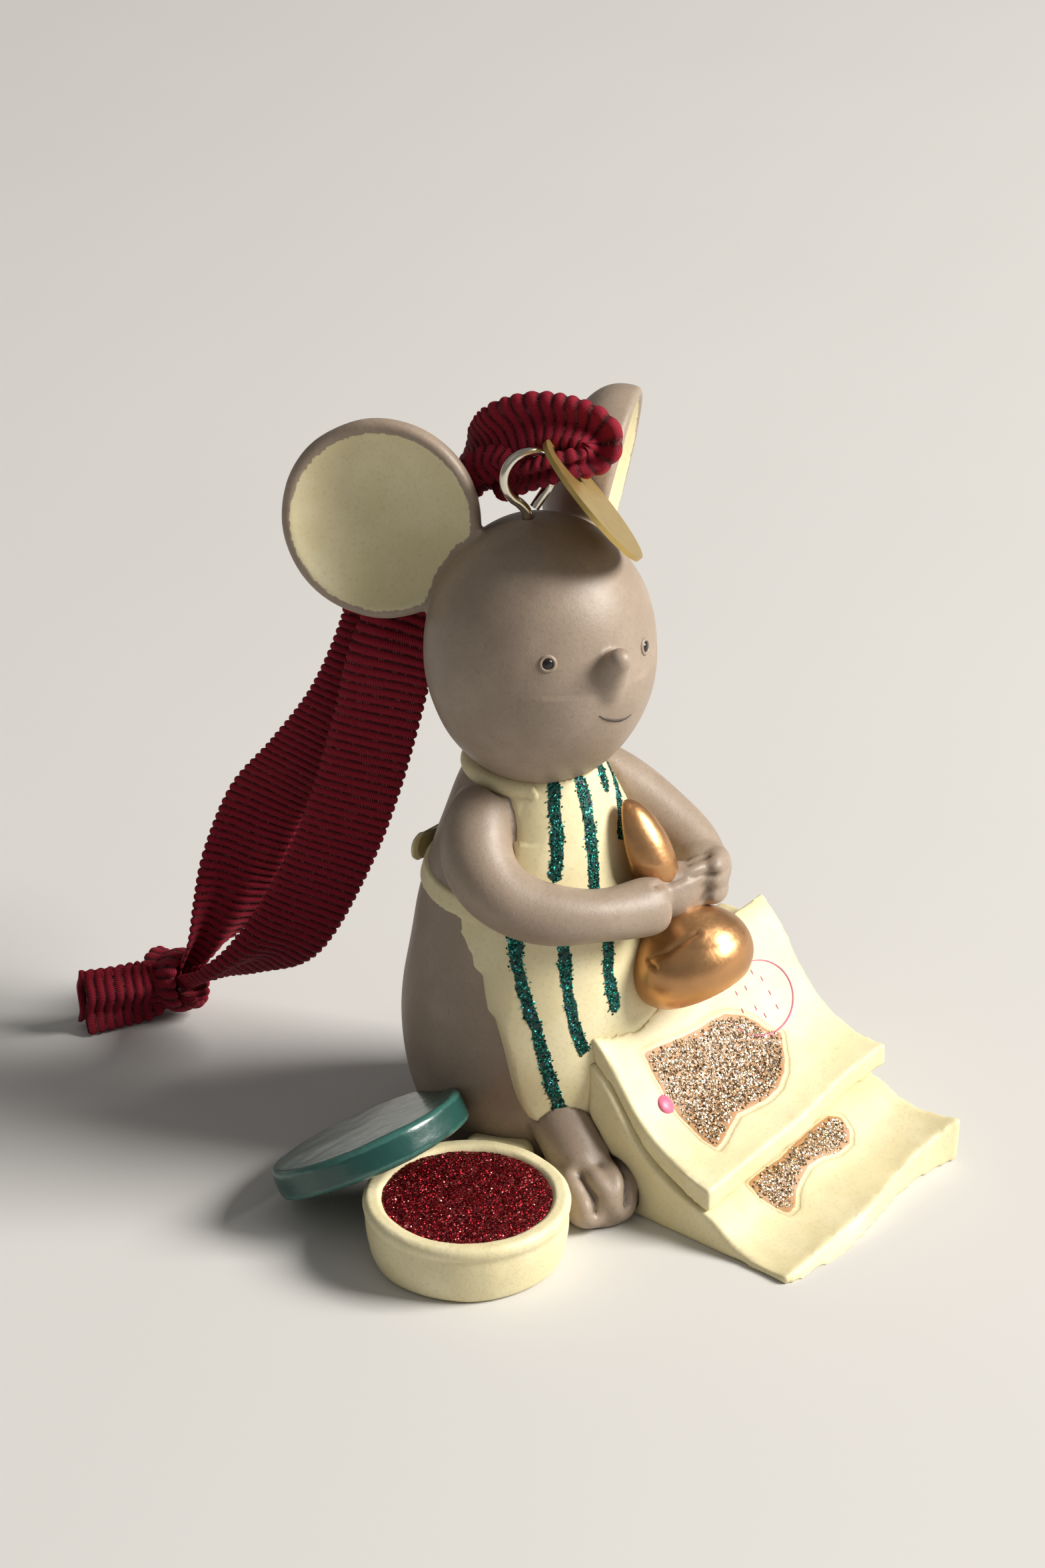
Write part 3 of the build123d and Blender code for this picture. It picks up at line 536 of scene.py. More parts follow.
def two_tones(name, dark, light, blot, rough, vary, drift, detail=2.0):
    """A plain finish that drifts between two near tones, with a roughness that varies a little.

    Blot and drift are the sizes in millimetres of the patches of tone and of roughness.
    """
    made = Paint(name)
    return made.finish(Base_Color=made.mix(made.speckle(blot, detail), dark, light),
                       Roughness=made.speckle(drift) * vary + rough)


pupil_black = two_tones("pupil_black", (0.006, 0.005, 0.005), (0.02, 0.016, 0.014),
                        blot=0.3, rough=0.18, vary=0.1, drift=0.4)
line_brown = two_tones("line_brown", (0.030, 0.020, 0.015), (0.07, 0.05, 0.04),
                       blot=0.4, rough=0.5, vary=0.2, drift=0.4)
rose_paint = two_tones("rose_paint", (0.62, 0.10, 0.20), (0.78, 0.22, 0.34),
                       blot=0.5, rough=0.34, vary=0.15, drift=0.6, detail=3.0)
pale_floor = two_tones("pale_floor", (0.620, 0.610, 0.590), (0.645, 0.635, 0.615),
                       blot=90.0, rough=0.75, vary=0.1, drift=40.0)
floor.data.materials.append(pale_floor)
print("finishes in all:", len(bpy.data.materials))

# %% [markdown]
# ## Dressing a piece
#
# A finished piece gets its material and, where it has one, the body that it moves with, so one helper does
# both. The paints darken the creases of a casting, as painted shade. The crease of a point is how far its
# neighbours stand above it, averaged a little; most paints read it as painted shade, the lid as a painted
# highlight on its edges.

# %% Helpers that dress a piece
CREASE_GAIN = 22


def dress(piece, material, body="figure"):
    """Gives a finished piece its material and the body it moves with."""
    piece.data.materials.clear()
    piece.data.materials.append(material)
    if body:
        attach(piece, body)
    return piece


def keep_crease(mesh):
    """Stores how hollow the surface is at each point, from -1 on a ridge to 1 in a groove."""
    points, normals = points_of(mesh), normals_of(mesh)
    edges = np.empty(len(mesh.edges) * 2, int)
    mesh.edges.foreach_get("vertices", edges)
    edges = edges.reshape(-1, 2)
    value = np.zeros(len(points))
    for step in range(3):
        source = points if step == 0 else value
        total, count = np.zeros_like(source), np.zeros(len(points))
        for a, b in ((0, 1), (1, 0)):
            np.add.at(total, edges[:, a], source[edges[:, b]])
            np.add.at(count, edges[:, a], 1)
        count = np.maximum(count, 1)
        if step == 0:
            value = ((total / count[:, None] - points) * normals).sum(1) * CREASE_GAIN
        else:
            value = 0.4 * value + 0.6 * total / count
    keep_value(mesh, "crease", np.clip(value, -1, 1))


# %% [markdown]
# ## Head and ears
#
# On the real ornament the ears and the nose grow out of the head without a seam, because it was sculpted in
# clay and cast. Subdivided boxes could be modelled by hand for this. Here copies of the CAD solids are joined
# into one skin, so the places stay the part's own. The muzzle then gets its cheeks and a stronger smoothing,
# and each point of an ear keeps whether it lies in the dish, which is where the cream lining goes.

# %% Head casting
HEAD_CENTRE = np.array((0.0, -1.0, 65.5))
HEAD_SIZE = np.array((13.6, 13.6, 16.5))
FACING = np.array((-0.242, -0.970, 0.0))
EARS = {"right": (np.array((-9.69, 15.06, 80.4)), np.array((-0.8695, -0.4623, 0.1736))),
        "left": (np.array((18.84, 2.95, 78.7)), np.array((0.4834, -0.8544, -0.1908)))}
head = cast("mouse_head", ["head", "nose", "right_ear", "left_ear"], voxel=0.28, rounds=5)

# %% Cheeks of the muzzle, and which part of the ears is lined
points, normals = points_of(head.data), normals_of(head.data)
nose_root = HEAD_CENTRE + FACING * 13.4 + np.array((0, 0, -0.6))
away = points - nose_root
aside = np.linalg.norm(away - np.outer(away @ FACING, FACING), axis=1)
front = (away @ FACING > -4) & (aside < 12)
swell = np.where(front, 0.9 * np.exp(-(aside / 3.6) ** 2), 0)
cheeks = np.where(front, 0.5 * np.exp(-((aside - 5.5) / 3.5) ** 2) * (away[:, 2] < 1), 0)
points = points + np.outer(swell + cheeks, FACING) * 0.7
points = points + normals * (ripple(points, 5.0, 1.0) * 0.10)[:, None]
move_points(head.data, points)
soften_near(head, [(nose_root + FACING * 0.5, 5.0)], rounds=24)

points = points_of(head.data)
FAR = 9.0
DISH_RADIUS, DISH_DEPTH, EAR_REACH = 10.75, 3.7, 13
lining = np.full(len(points), -FAR)
off_head = (np.linalg.norm((points - HEAD_CENTRE) / HEAD_SIZE, axis=1) - 1) * HEAD_SIZE[0]
for centre, normal in EARS.values():
    away = points - centre
    height = away @ normal
    radial = np.linalg.norm(away - np.outer(height, normal), axis=1)
    # painted shade: near the top of each ear the cream lining ends up to 0.55 mm short, widening the taupe
    # band under the upper rim
    high = np.clip(away @ np.array((0.3, 0.5, 0.8)) / 11.0, -1, 1)
    inside = DISH_RADIUS - 0.55 * np.clip(high, 0, 1) - radial
    dish = np.where(height > -DISH_DEPTH + 0.004 * radial ** 2, 3.0, -1.0)
    value = np.minimum(np.minimum(inside, off_head - 0.55), dish)
    lining = np.maximum(lining, np.where(radial < EAR_REACH, value, -FAR))
keep_value(head.data, "lining", np.clip(lining, -3, 3))
dress(head, head_paint)
head_tree = tree_of(head)
print("points of the ears' lining:", int((lining > 0).sum()))

# %% [markdown]
# ## Eyes and mouth
#
# The eyes are black beads in a raised rim, and the mouth is a thin painted line. Set by eye, they would never
# sit right. Here a ray runs from the camera through the place that each has in the photograph, and where it
# meets the head the small form stands up along the surface's normal.

# %% Eyes and mouth, placed by the photograph on the casting
def on_surface(tree, x, y):
    """The place and the normal, in millimetres, where a pixel of the photograph meets a surface."""
    hit, normal, _, _ = tree.ray_cast(EYE, ray_through(x, y))
    if hit is None:
        hit, normal, _, _ = tree.find_nearest(EYE + ray_through(x, y) * (EYE.length - 0.03))
    return np.array(hit) / MM, np.array(normal)


def turned(name, profile, centre, normal, turns=32):
    """A small round form from a profile of radius and height pairs, standing on a surface."""
    side = unit(np.cross(normal, (0.1, 0.2, 0.97)))
    other = np.cross(normal, side)
    rings = [[centre + normal * h + (side * math.cos(a) + other * math.sin(a)) * r
              for a in np.linspace(0, 2 * math.pi, turns, endpoint=False)] for r, h in profile]
    points = [p for ring in rings for p in ring]
    points += [centre + normal * profile[0][1], centre + normal * profile[-1][1]]
    faces = []
    for i in range(len(rings) - 1):
        for j in range(turns):
            k = (j + 1) % turns
            faces.append((i * turns + j, i * turns + k, (i + 1) * turns + k, (i + 1) * turns + j))
    last, end = (len(rings) - 1) * turns, len(rings) * turns
    for j in range(turns):
        k = (j + 1) % turns
        faces.append((k, j, end))
        faces.append((last + j, last + k, end + 1))
    mesh = mesh_of(name, points, faces)
    face_outwards(mesh)
    return new_object(name, mesh)


def bead_line(name, route, radius, closed=False, sides=8):
    """A thin round line along a route of points in millimetres, tapered at open ends."""
    route = np.asarray(route, float)
    count = len(route)
    ahead = np.roll(route, -1, 0) - np.roll(route, 1, 0)
    if not closed:
        ahead[0], ahead[-1] = route[1] - route[0], route[-1] - route[-2]
    ahead = unit(ahead)
    side = unit(np.cross(ahead, (0.21, 0.34, 0.92)))
    other = np.cross(ahead, side)
    points, faces = [], []
    for i in range(count):
        taper = 1.0 if closed else max(0.35, min(1.0, 2.4 * min(i, count - 1 - i) / count + 0.35))
        for a in np.linspace(0, 2 * math.pi, sides, endpoint=False):
            points.append(route[i] + (side[i] * math.cos(a) + other[i] * math.sin(a)) * radius * taper)
    for i in range(count if closed else count - 1):
        n = (i + 1) % count
        for j in range(sides):
            k = (j + 1) % sides
            faces.append((i * sides + j, i * sides + k, n * sides + k, n * sides + j))
    if not closed:
        faces.append(tuple(range(sides))[::-1])
        faces.append(tuple((count - 1) * sides + j for j in range(sides)))
    return new_object(name, mesh_of(name, points, faces))


RIM_PROFILE = [(0.62, -0.25), (0.62, 0.05), (0.72, 0.17), (0.86, 0.20), (0.98, 0.12), (1.08, -0.02),
               (1.08, -0.25)]
PUPIL_PROFILE = [(0.001, 0.30), (0.25, 0.275), (0.46, 0.20), (0.60, 0.08), (0.66, -0.02), (0.66, -0.25)]
for side, (x, y) in {"right": (822, 996), "left": (968, 970)}.items():
    place, normal = on_surface(head_tree, x, y)
    rim = turned(side + "_eye_rim", RIM_PROFILE, place, normal)
    keep_value(rim.data, "crease", np.zeros(len(rim.data.vertices)))
    dress(rim, taupe_paint)
    dress(turned(side + "_pupil", PUPIL_PROFILE, place, normal), pupil_black)

SMILE = [(899, 1074), (906, 1078), (914, 1080), (923, 1081), (932, 1080), (940, 1077), (947, 1072)]
smile_places = [on_surface(head_tree, x, y)[0] for x, y in SMILE]
dress(bead_line("mouth", smile_places, radius=0.17), line_brown)
print("eyes and mouth stand on the head")

# %% [markdown]
# ## Body
#
# The arms wrap round the chest and close on the stamp with short rounded fingers, and the foot has three
# toes. The same voxel skin joins torso, limbs and tail. The smoothing is stronger at the shoulders, the ankle
# and the near wrist, where the clay was pressed together. It would round away the grooves between fingers and
# toes, so these are pressed in afterwards, along lines read from the photograph.

# %% Helpers that press a line and make slow waves
def distance_from_line(points, line):
    """Distance of each point from a line through several places."""
    best = np.full(len(points), 1e9)
    for a, b in zip(line[:-1], line[1:]):
        edge = b - a
        t = np.clip(((points - a) @ edge) / (edge @ edge), 0, 1)
        best = np.minimum(best, np.linalg.norm(points - a - t[:, None] * edge, axis=1))
    return best


def press_line(piece, pixels, depth, width):
    """Presses a groove into a piece along a line of the photograph, with a slight swell on both sides."""
    tree = tree_of(piece)
    line = [on_surface(tree, x, y)[0] for x, y in pixels]
    points, normals = points_of(piece.data), normals_of(piece.data)
    away = distance_from_line(points, line)
    dent = depth * np.exp(-(away / width) ** 2)
    swell = depth * 0.35 * np.exp(-((away - 3 * width) / (1.5 * width)) ** 2)
    move_points(piece.data, points - normals * (dent - swell)[:, None])


def clay(points):
    """Slow hand-made unevenness, the same for every piece at one place, in millimetres."""
    return ripple(points, 7.0, 4.0) * 0.14


# %% Body casting
body = cast("mouse_body", ["torso", "right_arm", "left_arm", "right_hand", "left_hand", "right_leg",
                           "right_foot", "left_leg", "tail"], voxel=0.36, rounds=3)
points, normals = points_of(body.data), normals_of(body.data)
points = points + normals * clay(points)[:, None]
points[:, 2] = np.maximum(points[:, 2], 0)
move_points(body.data, points)
# centre and reach of each softened place
SHOULDERS, ANKLE = [((-8.5, 1.0, 47.0), 8.0), ((8.5, 0.0, 47.0), 8.0)], ((-9.0, -13.0, 8.0), 4.5)
soften_near(body, [*SHOULDERS, ANKLE], rounds=14)
WRIST_PIXEL, WRIST_REACH = (1013, 1350), 4.6
soften_near(body, [(on_surface(tree_of(body), *WRIST_PIXEL)[0], WRIST_REACH)], rounds=60)

# %% Grooves of toes and fingers
TOE_DEPTH, TOE_WIDTH, FINGER_DEPTH, FINGER_WIDTH = 0.85, 0.55, 0.24, 0.30
TOE_GROOVES = [[(871, 1762), (881, 1780), (892, 1797), (896, 1820)],
               [(920, 1730), (936, 1753), (943, 1780), (942, 1806)]]
FINGER_GROOVES = [[(984, 1330), (1007, 1323), (1027, 1316)], [(1033, 1297), (1049, 1289), (1064, 1284)],
                  [(1037, 1316), (1055, 1312), (1073, 1311)]]
for pixels in TOE_GROOVES:
    press_line(body, pixels, TOE_DEPTH, TOE_WIDTH)
for pixels in FINGER_GROOVES:
    press_line(body, pixels, FINGER_DEPTH, FINGER_WIDTH)
keep_crease(body.data)
dress(body, taupe_paint)
print("grooves:", len(TOE_GROOVES), "on the foot,", len(FINGER_GROOVES), "on the hand")

# %% [markdown]
# ## Apron
#
# The apron is a thin raised skin with green glitter stripes a millimetre and a half wide, brushed on by hand,
# so that their edges wander. A picture of stripes would need an image. Here each point of the mesh carries
# its distance from the nearest stripe, the material turns that into paint, and a second value made from it
# tells the flakes where to lie. The bow is narrowed and the straps are drawn in a little, to stay inside the
# outline that the photograph shows.

# %% Apron casting
apron = cast("apron", ["apron_bib", "apron_skirt", "neck_strap", "waist_tie", "apron_bow"], voxel=0.26,
             rounds=4, root=0.8)
points = points_of(apron.data)
BOW_FRONT, BOW_HALF, BOW_NARROWING, BOW_SINK = 14.0, 8.5, 0.45, 1.2
NECK_HEIGHT, NECK_DRAW, WAIST_DRAW = 45, 0.75, 0.35
bow = (points[:, 1] > BOW_FRONT) & (np.abs(points[:, 0]) < BOW_HALF)
points[:, 0] *= np.where(bow, BOW_NARROWING, 1.0)
points[:, 1] -= np.where(bow, BOW_SINK, 0.0)
behind = np.clip((points[:, 1] + 8) / 3, 0, 1)
slim = behind * np.where(points[:, 2] > NECK_HEIGHT, NECK_DRAW, WAIST_DRAW)
spread = np.linalg.norm(points[:, :2], axis=1)
points[:, :2] *= (1 - slim / spread)[:, None]
move_points(apron.data, points)
APRON_LIFT = 0.08
points, normals = points_of(apron.data), normals_of(apron.data)
points = points + normals * (clay(points) + APRON_LIFT)[:, None]
move_points(apron.data, points)

# %% Stripes of the apron
STRIPE_HALF, EDGE_WANDER = 0.78, 0.30
BIB_STRIPES = [[(830, 1179), (832, 1213), (835, 1247), (837, 1280), (833, 1312)],
               [(871, 1170), (880, 1213), (887, 1253), (890, 1293), (892, 1330)],
               [(916, 1153), (926, 1182), (931, 1215), (932, 1250)], [(939, 1143), (947, 1160), (952, 1172)]]
SKIRT_STRIPES = [[(772, 1403), (777, 1453), (787, 1493), (803, 1540), (817, 1587), (830, 1633), (843, 1673)],
                 [(846, 1405), (848, 1453), (853, 1493), (861, 1533), (873, 1573)],
                 [(913, 1405), (913, 1453), (917, 1487), (923, 1510)]]
apron_tree = tree_of(apron)
shown_bib, shown_skirt = [[np.array([on_surface(apron_tree, x, y)[0] for x, y in line]) for line in stripes]
                          for stripes in (BIB_STRIPES, SKIRT_STRIPES)]
hidden_skirt = [line * np.array((-1, 1, 1)) for line in shown_skirt]
distance = np.full(len(points), FAR)
for line in shown_bib + shown_skirt + hidden_skirt:
    distance = np.minimum(distance, distance_from_line(points, line) - STRIPE_HALF)
distance = distance + ripple(points, 2.2, 2.0) * EDGE_WANDER
keep_value(apron.data, "stripe", distance)
keep_value(apron.data, "glitter", np.clip(0.5 - distance * 2.5, 0, 1))
keep_crease(apron.data)
dress(apron, apron_paint)
print("points on stripes:", int((distance < 0).sum()))

# %% [markdown]
# ## Glitter
#
# Glitter is thousands of small foils, stuck down at all angles, so a few flash and most stay dark. A bump map
# cannot flash like that. Geometry Nodes scatter copies of one tiny faceted flake over each surface, where the
# stored value allows it, tilt each one at random, and give each a random number that its material turns into
# a tone.

# %% A node tree that scatters flakes
def scatter_tree():
    tree = bpy.data.node_groups.new("scatter flakes", "GeometryNodeTree")
    face = tree.interface
    face.new_socket("Geometry", in_out="INPUT", socket_type="NodeSocketGeometry")
    for name, kind in (("Flakes", "NodeSocketFloat"), ("Radius", "NodeSocketFloat"),
                       ("Seed", "NodeSocketInt"), ("Paint", "NodeSocketMaterial")):
        face.new_socket(name, in_out="INPUT", socket_type=kind)
    face.new_socket("Geometry", in_out="OUTPUT", socket_type="NodeSocketGeometry")

    def node(kind, settings=None, sockets=None):
        made = tree.nodes.new(kind)
        for name, value in (settings or {}).items():
            setattr(made, name, value)
        for name, value in (sockets or {}).items():
            if isinstance(value, bpy.types.NodeSocket):
                tree.links.new(value, made.inputs[name])
            else:
                made.inputs[name].default_value = value
        return made

    start = node("NodeGroupInput").outputs
    where = node("GeometryNodeInputNamedAttribute", {"data_type": "FLOAT"}, {"Name": "glitter"})
    often = node("ShaderNodeMath", {"operation": "MULTIPLY"}, {0: where.outputs[0], 1: start["Flakes"]})
    spots = node("GeometryNodeDistributePointsOnFaces", None,
                 {"Mesh": start["Geometry"], "Density": often.outputs[0], "Seed": start["Seed"]})
    deep = node("ShaderNodeMath", {"operation": "MULTIPLY"}, {0: start["Radius"], 1: 0.45})
    flake = node("GeometryNodeMeshCone", None,
                 {"Vertices": 6, "Radius Top": 0.0, "Radius Bottom": start["Radius"],
                  "Depth": deep.outputs[0]})
    tilt = node("FunctionNodeRandomValue", {"data_type": "FLOAT_VECTOR"}, {"Seed": start["Seed"]})
    tilt.inputs[0].default_value, tilt.inputs[1].default_value = (-0.75, -0.75, -3.1), (0.75, 0.75, 3.1)
    angle = node("FunctionNodeEulerToRotation", None, {0: tilt.outputs[0]})
    turn = node("FunctionNodeRotateRotation", {"rotation_space": "LOCAL"},
                {"Rotation": spots.outputs["Rotation"], "Rotate By": angle.outputs[0]})
    size = node("FunctionNodeRandomValue", {"data_type": "FLOAT"}, {"Seed": start["Seed"]})
    size.inputs[2].default_value, size.inputs[3].default_value = 0.6, 1.25
    placed = node("GeometryNodeInstanceOnPoints", None,
                  {"Points": spots.outputs["Points"], "Instance": flake.outputs["Mesh"],
                   "Rotation": turn.outputs[0], "Scale": size.outputs[1]})
    tone = node("FunctionNodeRandomValue", {"data_type": "FLOAT"}, {"Seed": 5})
    named = node("GeometryNodeStoreNamedAttribute", {"data_type": "FLOAT", "domain": "INSTANCE"},
                 {"Geometry": placed.outputs[0], "Name": "spark", "Value": tone.outputs[1]})
    real = node("GeometryNodeRealizeInstances", None, {"Geometry": named.outputs[0]})
    painted = node("GeometryNodeSetMaterial", None, {"Geometry": real.outputs[0], "Material": start["Paint"]})
    node("NodeGroupOutput", None, {"Geometry": painted.outputs[0]})
    return tree


FLAKE_TREE = scatter_tree()


def scatter(name, surface, per_mm2, radius, seed, material):
    """Flakes over a surface, where its value named glitter is above 0."""
    piece = new_object(name, surface.data.copy())
    flakes = piece.modifiers.new("flakes", "NODES")
    flakes.node_group = FLAKE_TREE
    names = {s.name: s.identifier for s in FLAKE_TREE.interface.items_tree if s.in_out == "INPUT"}
    flakes[names["Flakes"]] = per_mm2 / MM ** 2
    flakes[names["Radius"]] = radius * MM
    flakes[names["Seed"]] = seed
    flakes[names["Paint"]] = material
    settle(piece)
    piece.data.shade_flat()
    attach(piece, "figure")
    print(name, len(piece.data.polygons), "faces")
    return piece


# %% Flakes on the apron
scatter("apron_glitter", apron, per_mm2=17.0, radius=0.17, seed=3, material=green_flakes)

# %% [markdown]
# ## Paper and its motifs
#
# Two thick sheets slide from the lap to the table. Their faces carry a plain bell and a strip in gold glitter
# inside a copper line, a thin rose ring with a few dashes, and a small rose clapper. The motifs are placed by
# the photograph: rays from the camera find them on the sheets, and each point of the sheet then carries its
# distance from their outline.

# %% Sheets
top_paper = cast("top_paper", ["top_sheet"], voxel=0.36, rounds=4)
lower_paper = cast("lower_paper", ["lower_sheet"], voxel=0.42, rounds=4)


def weather(piece, height, seed):
    """Uneven clay: slow waves over the faces, kept off the floor."""
    points, normals = points_of(piece.data), normals_of(piece.data)
    wave = ripple(points, 8.0, seed) * height + ripple(points, 2.2, seed + 3) * height * 0.25
    points = points + normals * wave[:, None]
    points[:, 2] = np.maximum(points[:, 2], 0)
    move_points(piece.data, points)


# the front left corner of both sheets curls up
CURL_LEFT, CURL_FRONT, CURL_REACH, CURL_HEIGHT = 14, 24, 14, 1.6
for piece, seed in ((top_paper, 7.0), (lower_paper, 9.0)):
    points = points_of(piece.data)
    sideways = np.clip((points[:, 0] - CURL_LEFT) / CURL_REACH, 0, 1)
    forward = np.clip((-points[:, 1] - CURL_FRONT) / CURL_REACH, 0, 1)
    points[:, 2] += sideways ** 2 * forward ** 1.5 * np.where(points[:, 2] > 1.0, CURL_HEIGHT, 0)
    move_points(piece.data, points)
    weather(piece, height=0.22, seed=seed)

# %% Bell and strip on the sheets
def outline_on(tree, pixels):
    """Places of an outline on a surface, and the frame of its mean plane."""
    places = [on_surface(tree, x, y) for x, y in pixels]
    spots = np.array([p for p, n in places])
    normal = unit(np.mean([n for p, n in places], 0))
    side = unit(np.cross(normal, (0, 1, 0)))
    return spots, (spots.mean(0), side, np.cross(normal, side), normal)


def distance_in(points, polygon, plane):
    """Signed distance from a closed outline, measured in its plane; negative inside."""
    origin, side, other, _ = plane
    flat = np.stack([(points - origin) @ side, (points - origin) @ other], 1)
    ring = np.stack([(polygon - origin) @ side, (polygon - origin) @ other], 1)
    best, inside = np.full(len(flat), 1e9), np.zeros(len(flat), bool)
    for a, b in zip(ring, np.roll(ring, -1, 0)):
        edge = b - a
        t = np.clip(((flat - a) @ edge) / (edge @ edge), 0, 1)
        best = np.minimum(best, np.linalg.norm(flat - a - t[:, None] * edge, axis=1))
        with np.errstate(divide="ignore", invalid="ignore"):
            crosses = (a[1] > flat[:, 1]) != (b[1] > flat[:, 1])
            at = a[0] + (flat[:, 1] - a[1]) * edge[0] / (edge[1] if edge[1] else 1e-9)
        inside ^= crosses & (flat[:, 0] < at)
    return np.where(inside, -best, best)


BELL = [(970, 1582), (992, 1572), (1020, 1561), (1048, 1548), (1068, 1534), (1090, 1524), (1116, 1526),
        (1136, 1536), (1152, 1548), (1170, 1551), (1172, 1570), (1175, 1586), (1174, 1606), (1166, 1628),
        (1148, 1646), (1124, 1658), (1104, 1668), (1092, 1688), (1082, 1708), (1074, 1718), (1058, 1708),
        (1040, 1690), (1024, 1674), (1008, 1654), (994, 1628), (980, 1604)]
STRIP = [(1126, 1775), (1140, 1762), (1172, 1740), (1200, 1712), (1228, 1688), (1244, 1676), (1260, 1678),
         (1272, 1696), (1272, 1712), (1256, 1726), (1232, 1732), (1212, 1744), (1200, 1764), (1192, 1784),
         (1190, 1808), (1182, 1816), (1164, 1808), (1140, 1792)]
for piece, pixels in ((top_paper, BELL), (lower_paper, STRIP)):
    polygon, plane = outline_on(tree_of(piece), pixels)
    points, normals = points_of(piece.data), normals_of(piece.data)
    distance = distance_in(points, polygon, plane)
    distance = np.where(normals @ plane[3] > 0.25, distance, FAR)
    sink = np.where(distance < 0, 0.0, np.exp(-((distance - 0.6) / 0.3) ** 2) * 0.16)
    move_points(piece.data, points - normals * sink[:, None])
    keep_value(piece.data, "bell", np.clip(distance, -FAR, FAR))
    keep_value(piece.data, "glitter", np.clip(-distance * 2.0, 0, 1))
    keep_crease(piece.data)
    dress(piece, paper_paint)
    scatter(piece.name + "_glitter", piece, per_mm2=17.0, radius=0.20, seed=11, material=gold_flakes)

# %% Rose ring, dashes and clapper
paper_tree = tree_of(top_paper)
RING_PIXELS = [(1139 + 51 * math.cos(a), 1497 + 57 * math.sin(a)) for a in np.linspace(-2.1, 2.5, 60)]
DASH_PIXELS = [(1105, 1490), (1119, 1482), (1143, 1468), (1155, 1489), (1134, 1512), (1114, 1516),
               (1148, 1523), (1166, 1510), (1128, 1458)]
CLAPPER_PIXEL = (1000, 1656)
RING_LINE, DASH_LINE = 0.13, 0.10
ring_places = [on_surface(paper_tree, x, y)[0] for x, y in RING_PIXELS]
dress(bead_line("rose_ring", ring_places, RING_LINE), rose_paint)
joined = bmesh.new()
for x, y in DASH_PIXELS:
    places = [on_surface(paper_tree, x + 4 * s, y + 8 * s)[0] for s in (-0.5, -0.2, 0.2, 0.5)]
    dash = bead_line("dash", places, DASH_LINE)
    joined.from_mesh(dash.data)
    bpy.data.objects.remove(dash)
dash_mesh = bpy.data.meshes.new("rose_dashes")
joined.to_mesh(dash_mesh)
joined.free()
dress(new_object("rose_dashes", dash_mesh), rose_paint)
place, normal = on_surface(paper_tree, *CLAPPER_PIXEL)
DOME = [(0.001, 0.42), (0.4, 0.39), (0.8, 0.30), (1.15, 0.14), (1.3, -0.02), (1.3, -0.3)]
dress(turned("rose_clapper", DOME, place, normal), rose_paint)
print("rose ring, clapper and", len(DASH_PIXELS), "dashes")

# %% [markdown]
# ## Stamp
#
# The stamp is a flared head with a seam round its shoulder and an egg-shaped handle, brushed with copper
# paint. It stands in the hands and leans on the bib. Its upper part is moved a few millimetres towards the
# camera, so that the handle stands clear of the bib as in the photograph, and its seam is pressed in along a
# line read from there.

# %% Stamp casting
HANDLE_FOOT, HANDLE_BLEND, HANDLE_SHIFT = 32, 8, 3.4
SEAM = [(948, 1446), (973, 1440), (1000, 1430), (1026, 1414), (1046, 1400)]
SEAM_DEPTH, SEAM_WIDTH = 0.15, 0.26
stamp = cast("stamp", ["stamp_head", "stamp_handle"], voxel=0.26, rounds=3)
points = points_of(stamp.data)
points += np.outer(np.clip((points[:, 2] - HANDLE_FOOT) / HANDLE_BLEND, 0, 1) * HANDLE_SHIFT, np.array(BACK))
move_points(stamp.data, points)
weather(stamp, height=0.12, seed=13.0)
press_line(stamp, SEAM, SEAM_DEPTH, SEAM_WIDTH)
keep_crease(stamp.data)
dress(stamp, copper_paint)

# %% [markdown]
# ## Ink pot, lid and bridge
#
# The pot is low and cream with a rolled lip, and red glitter fills it to an uneven edge. Its lid leans on the
# rim. A bead of resin ties them to the casting. Pot and bead become one skin. The glitter is a bed that
# Python computes ring by ring, with flakes from the same node tree as the apron's.

# %% Pot and lid castings
pot = cast("pot_and_bridge", ["ink_pot", "pot_bead"], voxel=0.32, rounds=3)
weather(pot, height=0.16, seed=15.0)
keep_crease(pot.data)
dress(pot, cream_paint)
lid = cast("pot_lid", ["ink_lid"], voxel=0.32, rounds=3)
weather(lid, height=0.16, seed=17.0)
keep_crease(lid.data)
dress(lid, green_gloss)

# %% Red glitter bed and its flakes
POT_CENTRE, INK_RADIUS, INK_TOP, INK_FOOT = np.array((-26.4, -12.0, 0.0)), 10.15, 7.5, 2.2
INK_DOME, INK_UNEVEN, EDGE_DROP = 0.22, 0.16, 0.5
rings, turns = 40, 120
points, faces = [], []
for i in range(1, rings + 1):
    for j in range(turns):
        a = 2 * math.pi * j / turns
        edge = INK_RADIUS * (1 + 0.018 * noise.noise(Vector((math.cos(a) * 3, math.sin(a) * 3, 0))))
        share = i / rings
        spot = POT_CENTRE + np.array((math.cos(a), math.sin(a), 0)) * edge * share
        rise = INK_DOME * (1 - share ** 6) + INK_UNEVEN * noise.noise(Vector((spot[0], spot[1], 0)) * 0.7)
        points.append((spot[0], spot[1], INK_TOP + rise - (EDGE_DROP if share == 1 else 0)))
for j in range(turns):
    points.append((*points[(rings - 1) * turns + j][:2], INK_FOOT))
points += [(*POT_CENTRE[:2], INK_TOP + INK_DOME), (*POT_CENTRE[:2], INK_FOOT)]
for i in range(rings):
    for j in range(turns):
        k = (j + 1) % turns
        faces.append((i * turns + j, (i + 1) * turns + j, (i + 1) * turns + k, i * turns + k))
for j in range(turns):
    k = (j + 1) % turns
    faces.append((j, k, len(points) - 2))
    faces.append((rings * turns + k, rings * turns + j, len(points) - 1))
ink = new_object("ink_bed", mesh_of("ink_bed", points, faces))
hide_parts("ink_fill")
heights = points_of(ink.data)[:, 2]
